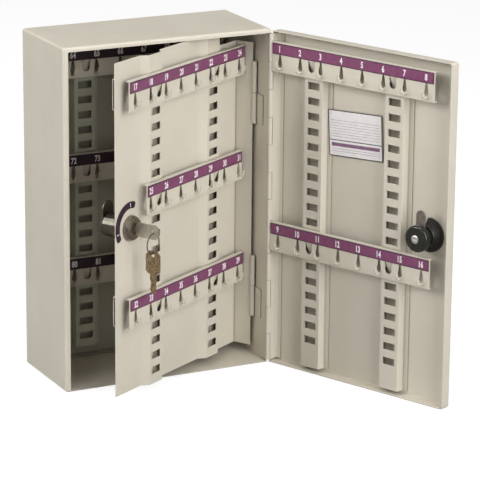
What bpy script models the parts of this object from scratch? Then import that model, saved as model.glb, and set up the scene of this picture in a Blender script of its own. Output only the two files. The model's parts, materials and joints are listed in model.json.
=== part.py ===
# Wall key cabinet with an outer door, a swinging inner panel and numbered hook bars.
# The frame: +X to the right, +Y towards the wall, +Z up, all lengths in metres.
# The origin is the centre of the back face, which lies on the wall.
# Each sheet metal piece is one solid; spot-welded pieces keep a small gap to each other.

import math

import bmesh
import bpy
from mathutils import Matrix, Vector

# Driving sizes of the cabinet body
BODY_WIDTH = 0.290
BODY_DEPTH = 0.130
BODY_HEIGHT = 0.450
SHEET = 0.001
SEAT_GAP = 0.0003
FOLD_RADIUS = 0.003
LEFT_RIM_WIDTH = 0.0075
TOP_RIM_HEIGHT = 0.006
BACK_FLANGE = 0.010
WALL_HOLE_RADIUS = 0.003
WALL_HOLE_SIDE_MARGIN = 0.038
WALL_HOLE_END_MARGIN = 0.045

# Angles of the photographed pose, counted from closed
DOOR_REST_ANGLE = math.radians(113.0)
PANEL_REST_ANGLE = math.radians(30.4)

# Outer door tray
DOOR_DEPTH = 0.0165
DOOR_FRONT_GAP = 0.0005
DOOR_HINGE_GAP = 0.0005
DOOR_FREE_MARGIN = 0.0035
DOOR_BOTTOM_MARGIN = 0.0005
DOOR_TOP_MARGIN = 0.0025
DOOR_EDGE_RADIUS = 0.003

# Long knuckle hinge of the door
HINGE_RADIUS = 0.003
HINGE_PIN_RADIUS = 0.001
HINGE_BORE_RADIUS = 0.0013
HINGE_KNUCKLES = 12
HINGE_KNUCKLE_GAP = 0.0004
HINGE_END_MARGIN = 0.003
HINGE_RUN_GAP = 0.0004
HINGE_LEAF_DEPTH = 0.015
HINGE_ANGLE_LEG = 0.010

# Slotted strips that carry the hook bars
SLOT_WIDTH = 0.019
SLOT_HEIGHT = 0.0095
SLOT_PITCH = 0.020
STRIP_FACE_WIDTH = 0.029
STRIP_HEIGHT = 0.0115
STRIP_FOOT = 0.007
STRIP_FLANK = 0.0012
REAR_STRIP_HEIGHT = 0.005
REAR_FOOT_LAP = 0.005
STRIP_END_MARGIN = 0.006
BACK_STRIP_BOTTOM = 0.016
BACK_SLOT_BASE = 0.0315
DOOR_SLOT_BASE = 0.044
DOOR_STRIP_TOP_MARGIN = 0.0175
PANEL_SLOT_BASE = 0.030

# Hook bars
BAR_SIDE_ROOM = 0.0304
BAR_HEIGHT = 0.039
BAR_FLANGE = 0.005
BAR_BELOW_SLOT = 0.009
HOOKS_PER_BAR = 8
BAR_END_MARGIN = 0.013
SHORT_BAR_END_MARGIN = 0.0086
STRIP_PLACE_SHARE = 0.25
HOOK_WINDOW_WIDTH = 0.0075
HOOK_WINDOW_TOP_WIDTH = 0.003
HOOK_WINDOW_BOTTOM = 0.006
HOOK_WIDTH = 0.0062
HOOK_TAPER_SHARE = 0.5
HOOK_REACH = 0.0085
HOOK_RISE = 0.009
HOOK_SHARES = ((0.0, 0.0), (0.45, -0.08), (0.85, 0.12), (1.0, 0.45), (1.06, 1.0))
CLIP_WINDOW_WIDTH = 0.011
CLIP_WINDOW_BOTTOM = 0.0072
CLIP_WIDTH = 0.009
CLIP_ROOM = 0.0007
CLIP_END_RISE = 0.001
CLIP_BEND_RISE = 0.007
LABEL_HEIGHT = 0.0143
LABEL_TOP_MARGIN = 0.0015
LABEL_THICKNESS = 0.0004
ROW_SHARES = (0.947, 0.579, 0.211)
BACK_ROW_SHARES = (0.9, 0.55, 0.2)
DOOR_BAR_START = 0.0032
PANEL_BAR_START = 0.0004

# Card on the inside of the door
CARD_HEIGHT = 0.060
CARD_THICKNESS = 0.0004
CARD_TILT = math.radians(3.2)
CARD_SIDE_GAP = 0.0004
CARD_FREE_GAP = 0.0013
CARD_TOP_MARGIN = 0.092

# Swinging inner panel
PANEL_AXIS_SIDE = 0.0045
PANEL_SETBACK = 0.037
PANEL_DEPTH = 0.0255
PANEL_SIDE_ROOM = 0.019
PANEL_FLANGE_FRONT = 0.0035
PANEL_FLANGE_SIDE = 0.0014
PANEL_BOTTOM = 0.012
PANEL_TOP_MARGIN = 0.007
PANEL_NOTCH_WIDTH = 0.045
PANEL_NOTCH_DEPTH = 0.019
RIB_HEIGHT = 0.0085
RIB_FACE_WIDTH = 0.027

# Lift-off hinges of the inner panel
LIFT_HINGE_RADIUS = 0.0031
LIFT_PIN_RADIUS = 0.0015
LIFT_BORE_RADIUS = 0.0018
LIFT_KNUCKLE = 0.041
LIFT_GAP = 0.0006
LIFT_LEAF = 0.0195
LIFT_LEAF_INSET = 0.001
UPPER_HINGE_TOP_MARGIN = 0.050
LOWER_HINGE_BOTTOM = 0.0545
LIFT_PIN_MARGIN = 0.004

# Lock of the outer door
DOOR_LOCK_STRIP_GAP = 0.0064
DOOR_LOCK_HEIGHT = 0.2205
DOOR_LOCK_BAR_GAP = 0.004
DOOR_LOCK_CORE_RADIUS = 0.012
DOOR_LOCK_BORE_RADIUS = 0.008
DOOR_LOCK_FLANGE_RADIUS = 0.017
DOOR_LOCK_FLANGE = 0.007
DOOR_DISC_RADIUS = 0.022
DOOR_DISC_DEPTH = 0.0107
DOOR_DISC_NOTCH_SIDE = 0.0005
DOOR_DISC_NOTCH_FOOT = 0.001
CAM_THICKNESS = 0.002
DOOR_CAM_WIDTH = 0.014
DOOR_CAM_CATCH = 0.0022
DOOR_CAM_RIM_GAP = 0.002
DOOR_CAP_RADIUS = 0.0172
DOOR_CAP_DEPTH = 0.0092
SCREW_HEAD_RADIUS = 0.0055
SCREW_HEAD_HEIGHT = 0.0016
SCREW_SHANK_RADIUS = 0.002
SCREW_BITE = 0.006
SCREW_RECESS = 0.0009
SCREW_RECESS_WIDTH = 0.0016
SCREW_RECESS_LENGTH = 0.006
RUN_GAP = 0.0004
KEYWAY_WIDTH = 0.0026
KEYWAY_HEIGHT = 0.0088
KEYWAY_DEPTH = 0.020
DOOR_KEYWAY_DEPTH = 0.014
LOCK_HOLE_GAP = 0.0004

# Lock of the inner panel
PANEL_SLEEVE_STRIP_GAP = 0.0019
PANEL_LOCK_HEIGHT = 0.227
BEZEL_RADIUS = 0.016
BEZEL_DEPTH = 0.008
PANEL_LOCK_RADIUS = 0.0125
PANEL_PLUG_RADIUS = 0.007
PANEL_SLEEVE_RADIUS = 0.0155
PANEL_CAM_WIDTH = 0.022
PANEL_CAM_REACH = 0.031
PANEL_CAM_ROOM = 0.0105
KEEPER_ROOM = 0.0006
KEEPER_REACH_MARGIN = 0.0035
KEEPER_HEIGHT = 0.026
KEEPER_LEG = 0.012

# Keys, ring and the turning-direction label round the lock
KEY_THICKNESS = 0.002
KEY_BLADE_HEIGHT = 0.008
KEY_BOW_HEIGHT = 0.0185
KEY_BOW_LENGTH = 0.0335
KEY_OUT = 0.0355
KEY_HOLE_OUT = 0.0267
KEY_HOLE_RADIUS = 0.003
KEY_SHOULDER = 0.0015
SPARE_LENGTH = 0.056
SPARE_BOW_LENGTH = 0.029
SPARE_BOW_WIDTH = 0.021
SPARE_HOLE_DROP = 0.0055
RING_RADIUS = 0.013
RING_WIRE_RADIUS = 0.0008
ARC_RADIUS = 0.0272
ARC_WIDTH = 0.0085
ARC_RISE = 0.0025
ARC_START_ANGLE = math.radians(-22.0)
ARC_END_ANGLE = math.radians(124.0)
ARC_THICKNESS = 0.0004

# How far a cutter reaches past what it cuts, and how round a round piece is
OVERRUN = 0.002
ROUND_STEPS = 24
BARREL_STEPS = 12
ARC_STEPS = 6
WIRE_STEPS = 6
FOLD_STEPS = 3
SHARPEST_MITRE_SHARE = 0.25
SMOOTH_ANGLE = math.radians(40)

# Places worked out from the sizes
LEFT = -BODY_WIDTH / 2
RIGHT = BODY_WIDTH / 2
FRONT = -BODY_DEPTH
BOTTOM = -BODY_HEIGHT / 2
TOP = BODY_HEIGHT / 2
BAR_LENGTH = BODY_WIDTH - BAR_SIDE_ROOM
HOOK_PITCH = (BAR_LENGTH - 2 * BAR_END_MARGIN) / (HOOKS_PER_BAR - 1)
STRIP_OFFSET = BAR_LENGTH * STRIP_PLACE_SHARE
BAR_STANDOFF = BAR_FLANGE + SEAT_GAP
DOOR_WIDTH = BODY_WIDTH - DOOR_FREE_MARGIN
PANEL_WIDTH = BODY_WIDTH - PANEL_SIDE_ROOM
DOOR_BOTTOM = BOTTOM + DOOR_BOTTOM_MARGIN
DOOR_TOP = TOP - DOOR_TOP_MARGIN
DOOR_INNER = -DOOR_DEPTH + SHEET
PANEL_BASE = PANEL_FLANGE_FRONT + PANEL_DEPTH
PANEL_BACK = PANEL_BASE + SHEET
PANEL_LOW = BOTTOM + PANEL_BOTTOM
PANEL_HIGH = TOP - PANEL_TOP_MARGIN
DOOR_BAR_CENTRE = DOOR_BAR_START + BAR_LENGTH / 2
PANEL_BAR_CENTRE = PANEL_BAR_START + BAR_LENGTH / 2
BACK_INNER = -SHEET
BACK_BAR_FRONT = BACK_INNER - SEAT_GAP - STRIP_HEIGHT - BAR_STANDOFF


# Materials

def make_material(name, colour, roughness, metallic):
    """A plain Principled material with its colour, roughness and metallic value."""
    material = bpy.data.materials.new(name)
    material.use_nodes = True
    shader = material.node_tree.nodes["Principled BSDF"]
    shader.inputs["Base Color"].default_value = (*colour, 1.0)
    shader.inputs["Roughness"].default_value = roughness
    shader.inputs["Metallic"].default_value = metallic
    return material


# Shapes: each helper adds one closed body to a bmesh

def place(axis, first, second, along):
    """A point of an outline that is pushed along an axis."""
    if axis == "X":
        return (along, first, second)
    if axis == "Y":
        return (first, along, second)
    return (first, second, along)


def add_prism(shape, outline, start, end, axis):
    """Add an outline pushed from start to end along an axis."""
    verts = [shape.verts.new(place(axis, first, second, start)) for first, second in outline]
    face = shape.faces.new(verts)
    pushed = bmesh.ops.extrude_face_region(shape, geom=[face])
    moved = [item for item in pushed["geom"] if isinstance(item, bmesh.types.BMVert)]
    bmesh.ops.translate(shape, verts=moved, vec=place(axis, 0, 0, end - start))
    return verts + moved


def add_box(shape, low, high):
    """Add a box between two corners."""
    outline = ((low[0], low[1]), (high[0], low[1]), (high[0], high[1]), (low[0], high[1]))
    return add_prism(shape, outline, low[2], high[2], "Z")


def add_turned(shape, profile, axis, centre, steps, closed):
    """Add a profile of (radius, along) points turned about an axis through a centre."""
    direction = Vector(place(axis, 0, 0, 1))
    side = Vector((0, 0, 1)) if axis == "X" else Vector((1, 0, 0))
    verts = [shape.verts.new(Vector(centre) + side * radius + direction * along)
             for radius, along in profile]
    pairs = list(zip(verts, verts[1:]))
    if closed:
        pairs.append((verts[-1], verts[0]))
    edges = [shape.edges.new(pair) for pair in pairs]
    bmesh.ops.spin(shape, geom=verts + edges, cent=centre, axis=direction,
                   angle=2 * math.pi, steps=steps, use_merge=True)


def rod(radius, start, end):
    """The profile of a solid rod."""
    return ((0, start), (radius, start), (radius, end), (0, end))


def tube(outer, inner, start, end):
    """The closed profile of a tube."""
    return ((inner, start), (outer, start), (outer, end), (inner, end))


def circle(radius, steps, centre):
    """The points of a circle."""
    return [(centre[0] + radius * math.cos(2 * math.pi * step / steps),
             centre[1] + radius * math.sin(2 * math.pi * step / steps)) for step in range(steps)]


def arc(radius, start, end, steps, centre):
    """The points along an arc from one angle to another."""
    return [(centre[0] + radius * math.cos(start + (end - start) * step / steps),
             centre[1] + radius * math.sin(start + (end - start) * step / steps))
            for step in range(steps + 1)]


def sheet_outline(path, thickness):
    """The outline of a folded sheet whose middle line is a path, with sharp folds."""
    points = [Vector(point) for point in path]
    first_side = []
    second_side = []
    for index, point in enumerate(points):
        before = points[max(index - 1, 0)]
        after = points[min(index + 1, len(points) - 1)]
        into = (point - before).normalized() if index > 0 else (after - point).normalized()
        out_of = (after - point).normalized() if index < len(points) - 1 else into
        normal = Vector((-(into.y + out_of.y), into.x + out_of.x)).normalized()
        half = thickness / 2 / max(normal.dot(Vector((-into.y, into.x))), SHARPEST_MITRE_SHARE)
        first_side.append(point + normal * half)
        second_side.append(point - normal * half)
    return [tuple(point) for point in first_side + second_side[::-1]]


# Objects

def finish_shape(shape, name):
    """Turn a bmesh into a mesh whose faces point outwards."""
    bmesh.ops.remove_doubles(shape, verts=shape.verts, dist=SHEET / 1000)
    bmesh.ops.recalc_face_normals(shape, faces=shape.faces)
    mesh = bpy.data.meshes.new(name)
    shape.to_mesh(mesh)
    shape.free()
    return mesh


def add_object(name, mesh, material, parent=None, location=(0, 0, 0), rotation=(0, 0, 0)):
    """Place a mesh as a named object, under its parent if it has one."""
    if not mesh.materials:
        mesh.materials.append(material)
    item = bpy.data.objects.new(name, mesh)
    item.location = location
    item.rotation_euler = rotation
    item.parent = parent
    bpy.context.scene.collection.objects.link(item)
    return item


def add_empty(name, parent, location, rotation):
    """A frame that carries the pieces of a moving body, on its joint's axis."""
    empty = bpy.data.objects.new(name, None)
    empty.location = location
    empty.rotation_euler = rotation
    empty.parent = parent
    bpy.context.scene.collection.objects.link(empty)
    return empty


def combine(mesh, shape, operation):
    """Cut a shape out of a mesh, or join it on, and give the resulting mesh."""
    target = bpy.data.objects.new("target", mesh)
    tool = bpy.data.objects.new("tool", finish_shape(shape, "tool"))
    for item in (target, tool):
        bpy.context.scene.collection.objects.link(item)
    modifier = target.modifiers.new("combine", "BOOLEAN")
    modifier.object = tool
    modifier.operation = operation
    modifier.solver = "EXACT"
    graph = bpy.context.evaluated_depsgraph_get()
    result = bpy.data.meshes.new_from_object(target.evaluated_get(graph))
    bpy.data.objects.remove(target)
    bpy.data.objects.remove(tool)
    result.materials.clear()
    return result


def smooth(item):
    """Shade the round faces of an object smooth and keep its edges sharp."""
    item.data.shade_smooth()
    item.data.set_sharp_from_angle(angle=SMOOTH_ANGLE)


# Cabinet body

def round_box(low, high, radius, picks):
    """A box whose edges that pass a test are rounded."""
    shape = bmesh.new()
    add_box(shape, low, high)
    bmesh.ops.recalc_face_normals(shape, faces=shape.faces)
    edges = [edge for edge in shape.edges if picks(*(vert.co for vert in edge.verts))]
    bmesh.ops.bevel(shape, geom=edges, offset=radius, offset_type="OFFSET", affect="EDGES",
                    segments=FOLD_STEPS, profile=0.5, material=-1)
    return shape


def make_shell(material):
    """The wrapped walls with the folded front rims; open at the back."""
    def folds(first, second):
        along_depth = abs(first.y - second.y) > BODY_DEPTH / 2
        at_front = max(first.y, second.y) < FRONT / 2
        left_edge = at_front and max(first.x, second.x) < 0
        top_edge = at_front and min(first.z, second.z) > 0
        return along_depth or left_edge or top_edge

    outer = round_box((LEFT, FRONT, BOTTOM), (RIGHT, 0, TOP), FOLD_RADIUS, folds)
    inner = round_box((LEFT + SHEET, FRONT + SHEET, BOTTOM + SHEET),
                      (RIGHT - SHEET, OVERRUN, TOP - SHEET), FOLD_RADIUS - SHEET, folds)
    mesh = combine(finish_shape(outer, "cabinet_shell"), inner, "DIFFERENCE")
    opening = bmesh.new()
    add_box(opening, (LEFT + LEFT_RIM_WIDTH, FRONT - OVERRUN, BOTTOM + SHEET),
            (RIGHT - SHEET, FRONT + SHEET + OVERRUN, TOP - TOP_RIM_HEIGHT))
    mesh = combine(mesh, opening, "DIFFERENCE")
    relief = bmesh.new()
    add_box(relief, (RIGHT - HINGE_RADIUS - HINGE_RUN_GAP, FRONT - OVERRUN, BOTTOM + SHEET),
            (RIGHT + OVERRUN, FRONT + HINGE_RADIUS + HINGE_RUN_GAP, TOP - TOP_RIM_HEIGHT))
    mesh = combine(mesh, relief, "DIFFERENCE")
    return add_object("cabinet_shell", mesh, material)


def make_back(material):
    """The back panel, a shallow pan whose flanges turn to the front, with four wall holes."""
    def corners(first, second):
        return abs(first.y - second.y) > BACK_FLANGE / 2

    side = SHEET + SEAT_GAP
    low = (LEFT + side, -SHEET - BACK_FLANGE, BOTTOM + side)
    high = (RIGHT - side, 0, TOP - side)
    pan = round_box(low, high, FOLD_RADIUS - side, corners)
    hollow = bmesh.new()
    add_box(hollow, (low[0] + SHEET, low[1] - OVERRUN, low[2] + SHEET),
            (high[0] - SHEET, -SHEET, high[2] - SHEET))
    mesh = combine(finish_shape(pan, "cabinet_back"), hollow, "DIFFERENCE")
    holes = bmesh.new()
    for across in (LEFT + WALL_HOLE_SIDE_MARGIN, RIGHT - WALL_HOLE_SIDE_MARGIN):
        for up in (BOTTOM + WALL_HOLE_END_MARGIN, TOP - WALL_HOLE_END_MARGIN):
            add_prism(holes, circle(WALL_HOLE_RADIUS, BARREL_STEPS, (across, up)),
                      -SHEET - OVERRUN, OVERRUN, "Y")
    mesh = combine(mesh, holes, "DIFFERENCE")
    return add_object("cabinet_back", mesh, material)


# Slotted strips and hook bars

def slot_places(base, top):
    """The heights of the slots between a lowest slot and the strip's top end."""
    count = int((top - STRIP_END_MARGIN - SLOT_HEIGHT / 2 - base) / SLOT_PITCH) + 1
    return [base + SLOT_PITCH * index for index in range(count)]


def add_slots(shape, centre, places, near, far):
    """Add a cutter box for each slot of a strip or a rib."""
    for up in places:
        add_box(shape, (centre - SLOT_WIDTH / 2, near, up - SLOT_HEIGHT / 2),
                (centre + SLOT_WIDTH / 2, far, up + SLOT_HEIGHT / 2))


def strip_mesh(name, height, foot, bottom, top, places):
    """A hat-shaped strip whose feet lie at zero and whose slotted face looks to -Y."""
    half = STRIP_FACE_WIDTH / 2
    lift = -height + SHEET / 2
    path = ((-half - STRIP_FLANK - foot, -SHEET / 2), (-half - STRIP_FLANK, -SHEET / 2),
            (-half + SHEET / 2, lift), (half - SHEET / 2, lift),
            (half + STRIP_FLANK, -SHEET / 2), (half + STRIP_FLANK + foot, -SHEET / 2))
    shape = bmesh.new()
    add_prism(shape, sheet_outline(path, SHEET), bottom, top, "Z")
    slots = bmesh.new()
    add_slots(slots, 0, places, -height - OVERRUN, -height + SHEET + OVERRUN)
    return combine(finish_shape(shape, name), slots, "DIFFERENCE")


def add_hook_window(shape, across, top):
    """The narrow window that a hook is bent out of."""
    half = HOOK_WINDOW_WIDTH / 2
    outline = arc(half, -math.pi, 0, ARC_STEPS // 2, (across, HOOK_WINDOW_BOTTOM + half))
    outline += [(across + HOOK_WINDOW_TOP_WIDTH / 2, top), (across - HOOK_WINDOW_TOP_WIDTH / 2, top)]
    add_prism(shape, outline, -BAR_STANDOFF - OVERRUN, -BAR_STANDOFF + SHEET + OVERRUN, "Y")


def add_clip_window(shape, across, top):
    """The round-bottomed window that a fixing tab is bent out of."""
    half = CLIP_WINDOW_WIDTH / 2
    outline = arc(half, -math.pi, 0, ARC_STEPS, (across, CLIP_WINDOW_BOTTOM + half))
    outline += [(across + half, top), (across - half, top)]
    add_prism(shape, outline, -BAR_STANDOFF - OVERRUN, -BAR_STANDOFF + SHEET + OVERRUN, "Y")


def add_hook(shape, across):
    """A tapered tongue that leaves the window's lower end forwards and turns up."""
    root = -BAR_STANDOFF + SHEET / 2
    low = HOOK_WINDOW_BOTTOM - SHEET * 3 / 4
    path = [(root - HOOK_REACH * out, low + HOOK_RISE * up) for out, up in HOOK_SHARES]
    verts = add_prism(shape, sheet_outline(path, SHEET), across - HOOK_WIDTH / 2,
                      across + HOOK_WIDTH / 2, "X")
    for vert in verts:
        out = (root - vert.co.y) / HOOK_REACH
        vert.co.x = across + (vert.co.x - across) * (1 - HOOK_TAPER_SHARE * out)


def add_clip(shape, across, top):
    """A tab that slopes back through a slot and hooks down behind the strip's face."""
    behind = SHEET + CLIP_ROOM + SHEET / 2
    path = ((-BAR_STANDOFF + SHEET / 2, top + SHEET / 4), (behind, CLIP_BEND_RISE), (behind, CLIP_END_RISE))
    add_prism(shape, sheet_outline(path, SHEET), across - CLIP_WIDTH / 2, across + CLIP_WIDTH / 2, "X")


def bar_mesh(name, length, margin, hooks, clips):
    """A folded bar with hooks and clips; its strip's face lies at zero, its foot at zero height."""
    back = -SEAT_GAP
    front = -BAR_STANDOFF + SHEET / 2
    path = ((back, SHEET / 2), (front, SHEET / 2), (front, BAR_HEIGHT - SHEET / 2),
            (back, BAR_HEIGHT - SHEET / 2))
    shape = bmesh.new()
    add_prism(shape, sheet_outline(path, SHEET), -length / 2, length / 2, "X")
    window_top = BAR_HEIGHT - LABEL_TOP_MARGIN - LABEL_HEIGHT - SHEET / 2
    windows = bmesh.new()
    tongues = bmesh.new()
    for index in range(hooks):
        across = -length / 2 + margin + HOOK_PITCH * index
        add_hook_window(windows, across, window_top)
        add_hook(tongues, across)
    for across in clips:
        add_clip_window(windows, across, window_top)
        add_clip(tongues, across, window_top)
    mesh = combine(finish_shape(shape, name), windows, "DIFFERENCE")
    return combine(mesh, tongues, "UNION")


def label_mesh(name, length):
    """The number strip stuck along the top of a bar's face."""
    near = -BAR_STANDOFF - SEAT_GAP - LABEL_THICKNESS
    high = BAR_HEIGHT - LABEL_TOP_MARGIN
    shape = bmesh.new()
    add_box(shape, (-length / 2, near, high - LABEL_HEIGHT),
            (length / 2, near + LABEL_THICKNESS, high))
    return finish_shape(shape, name)


def row_heights(places, shares):
    """The foot height of each bar, from the slot that its clips hang in."""
    return [places[round(share * (len(places) - 1))] - BAR_BELOW_SLOT for share in shares]


def row_under(places, limit):
    """The foot height of the highest bar whose top stays under a limit."""
    return [up - BAR_BELOW_SLOT for up in places if up - BAR_BELOW_SLOT + BAR_HEIGHT <= limit][-1]


def add_bar(name, meshes, materials, parent, location, turn):
    """Place a bar and its number strip."""
    bar, label = meshes
    metal, print_film = materials
    add_object(name, bar, metal, parent, location, (0, 0, turn))
    add_object(name + "_label", label, print_film, parent, location, (0, 0, turn))


# Outer door

def make_door_tray(material, parent):
    """The pressed tray of the door, its rim turned towards the cabinet."""
    def folds(first, second):
        along_depth = abs(first.y - second.y) > DOOR_DEPTH / 2
        at_front = max(first.y, second.y) < -DOOR_DEPTH / 2
        return along_depth or at_front

    low = (-DOOR_WIDTH, -DOOR_DEPTH, DOOR_BOTTOM)
    high = (-DOOR_HINGE_GAP, -DOOR_FRONT_GAP, DOOR_TOP)
    outer = round_box(low, high, DOOR_EDGE_RADIUS, folds)
    inner = round_box((low[0] + SHEET, low[1] + SHEET, low[2] + SHEET),
                      (high[0] - SHEET, OVERRUN, high[2] - SHEET), DOOR_EDGE_RADIUS - SHEET, folds)
    mesh = combine(finish_shape(outer, "door_tray"), inner, "DIFFERENCE")
    relief = bmesh.new()
    add_box(relief, (-HINGE_RADIUS - HINGE_RUN_GAP, -HINGE_RADIUS - HINGE_RUN_GAP, DOOR_BOTTOM + SHEET),
            (OVERRUN, OVERRUN, DOOR_TOP - SHEET))
    mesh = combine(mesh, relief, "DIFFERENCE")
    hole = bmesh.new()
    lock_hole = circle(DOOR_LOCK_CORE_RADIUS + LOCK_HOLE_GAP, ROUND_STEPS, (-DOOR_LOCK_ACROSS, DOOR_LOCK_UP))
    add_prism(hole, lock_hole, -DOOR_DEPTH - OVERRUN, DOOR_INNER + OVERRUN, "Y")
    mesh = combine(mesh, hole, "DIFFERENCE")
    return add_object("door_tray", mesh, material, parent)


def knuckle_spans(parity):
    """The heights of every second knuckle of the long hinge."""
    low = BOTTOM + HINGE_END_MARGIN
    high = TOP - TOP_RIM_HEIGHT - HINGE_RUN_GAP
    step = (high - low) / HINGE_KNUCKLES
    return [(low + step * index, low + step * (index + 1)) for index in range(HINGE_KNUCKLES)
            if index % 2 == parity]


def make_hinge_leaf(name, outline, parity, material, parent, location):
    """One leaf of the long hinge with every second knuckle, about the pin at zero."""
    own = knuckle_spans(parity)
    other = knuckle_spans(1 - parity)
    shape = bmesh.new()
    low = min(own[0][0], other[0][0])
    high = max(own[-1][1], other[-1][1])
    add_prism(shape, outline, low + HINGE_KNUCKLE_GAP, high - HINGE_KNUCKLE_GAP, "Z")
    rings = bmesh.new()
    for start, end in own:
        add_turned(rings, rod(HINGE_RADIUS, start + HINGE_KNUCKLE_GAP / 2, end - HINGE_KNUCKLE_GAP / 2),
                   "Z", (0, 0, 0), BARREL_STEPS, False)
    mesh = combine(finish_shape(shape, name), rings, "UNION")
    cuts = bmesh.new()
    for start, end in other:
        add_turned(cuts, rod(HINGE_RADIUS + HINGE_RUN_GAP, start - HINGE_KNUCKLE_GAP / 2,
                             end + HINGE_KNUCKLE_GAP / 2), "Z", (0, 0, 0), BARREL_STEPS, False)
    mesh = combine(mesh, cuts, "DIFFERENCE")
    bore = bmesh.new()
    add_turned(bore, rod(HINGE_BORE_RADIUS, low - OVERRUN, high + OVERRUN), "Z", (0, 0, 0),
               BARREL_STEPS, False)
    mesh = combine(mesh, bore, "DIFFERENCE")
    item = add_object(name, mesh, material, parent, location)
    smooth(item)


def make_long_hinge(material, pin_material, door, axis):
    """The two leaves and the pin of the door's full-height hinge."""
    near = -SHEET - SEAT_GAP - SHEET
    side = near + SHEET
    frame_leaf = ((near, 0), (side, 0), (side, HINGE_LEAF_DEPTH), (near, HINGE_LEAF_DEPTH))
    make_hinge_leaf("hinge_frame_leaf", frame_leaf, 0, material, None, axis)
    door_side = side - DOOR_HINGE_GAP
    door_near = door_side - SHEET
    floor = DOOR_INNER + SEAT_GAP
    bend = DOOR_EDGE_RADIUS - SHEET
    door_leaf = ((door_side, 0), (door_side, floor + bend), (door_side - bend, floor),
                 (-HINGE_ANGLE_LEG, floor), (-HINGE_ANGLE_LEG, floor + SHEET),
                 (door_near - bend, floor + SHEET), (door_near, floor + SHEET + bend), (door_near, 0))
    make_hinge_leaf("hinge_door_leaf", door_leaf, 1, material, door, (0, 0, 0))
    spans = knuckle_spans(0) + knuckle_spans(1)
    low = min(start for start, end in spans) + HINGE_KNUCKLE_GAP
    high = max(end for start, end in spans) - HINGE_KNUCKLE_GAP
    shape = bmesh.new()
    add_turned(shape, rod(HINGE_PIN_RADIUS, low, high), "Z", (0, 0, 0), BARREL_STEPS, False)
    item = add_object("hinge_pin", finish_shape(shape, "hinge_pin"), pin_material, None, axis)
    smooth(item)


def make_card(material, parent):
    """The blank card on the inside of the door, a little askew."""
    flank_edge = STRIP_FACE_WIDTH / 2 + STRIP_FLANK
    near = DOOR_BAR_CENTRE - STRIP_OFFSET + flank_edge + SHEET / 2 + CARD_SIDE_GAP
    far = DOOR_BAR_CENTRE + STRIP_OFFSET - flank_edge - STRIP_FOOT - CARD_FREE_GAP
    width = (far - near - CARD_HEIGHT * math.sin(CARD_TILT)) / math.cos(CARD_TILT)
    shape = bmesh.new()
    verts = add_box(shape, (-width / 2, -CARD_THICKNESS, -CARD_HEIGHT / 2),
                    (width / 2, 0, CARD_HEIGHT / 2))
    bmesh.ops.rotate(shape, verts=verts, cent=(0, 0, 0), matrix=Matrix.Rotation(CARD_TILT, 3, "Y"))
    face = DOOR_INNER + SEAT_GAP + SHEET + SEAT_GAP
    location = (-(near + far) / 2, face + CARD_THICKNESS, TOP - CARD_TOP_MARGIN - CARD_HEIGHT / 2)
    add_object("door_card", finish_shape(shape, "door_card"), material, parent, location)


# Lock of the outer door, along Y about its own axis, the user's side at -Y

DOOR_STRIP_EDGE = DOOR_BAR_CENTRE + STRIP_OFFSET + STRIP_FACE_WIDTH / 2 + STRIP_FLANK + STRIP_FOOT
DOOR_LOCK_ACROSS = DOOR_STRIP_EDGE + DOOR_LOCK_STRIP_GAP + DOOR_DISC_RADIUS
DOOR_LOCK_UP = BOTTOM + DOOR_LOCK_HEIGHT
DOOR_CAM_START = SHEET + DOOR_CAM_RIM_GAP
DOOR_CORE_END = DOOR_CAM_START - RUN_GAP
DOOR_CAM_REACH = BODY_WIDTH - LEFT_RIM_WIDTH - DOOR_LOCK_ACROSS + DOOR_CAM_CATCH
DOOR_CAP_START = DOOR_CAM_START + CAM_THICKNESS + RUN_GAP
DOOR_CAP_END = DOOR_CAP_START + DOOR_CAP_DEPTH


def cam_outline(radius, width, reach, steps):
    """A cam plate seen from behind: a round hub with a tongue that points up, end rounded."""
    half = width / 2
    start = math.acos(half / radius)
    tip = arc(half, 0, math.pi, ARC_STEPS, (0, reach - half))
    hub = arc(radius, math.pi - start, 2 * math.pi + start, steps, (0, 0))
    return tip + hub


def plate_with_hole(name, outline, start, end, hole_radius, steps):
    """A flat plate across the lock's axis with a centre hole."""
    shape = bmesh.new()
    add_prism(shape, outline, start, end, "Y")
    hole = bmesh.new()
    add_prism(hole, circle(hole_radius, steps, (0, 0)), start - OVERRUN, end + OVERRUN, "Y")
    return combine(finish_shape(shape, name), hole, "DIFFERENCE")


def plug_mesh(name, radius, start, end, keyway_depth, bore_depth):
    """A lock plug with its keyway at the front and a screw hole at the back."""
    shape = bmesh.new()
    add_turned(shape, rod(radius, start, end), "Y", (0, 0, 0), ROUND_STEPS, False)
    keyway = bmesh.new()
    add_box(keyway, (-KEYWAY_WIDTH / 2, start - OVERRUN, -KEYWAY_HEIGHT / 2),
            (KEYWAY_WIDTH / 2, start + keyway_depth, KEYWAY_HEIGHT / 2))
    mesh = combine(finish_shape(shape, name), keyway, "DIFFERENCE")
    bore = bmesh.new()
    add_prism(bore, circle(SCREW_SHANK_RADIUS + RUN_GAP, BARREL_STEPS, (0, 0)), end - bore_depth,
              end + OVERRUN, "Y")
    return combine(mesh, bore, "DIFFERENCE")


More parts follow.
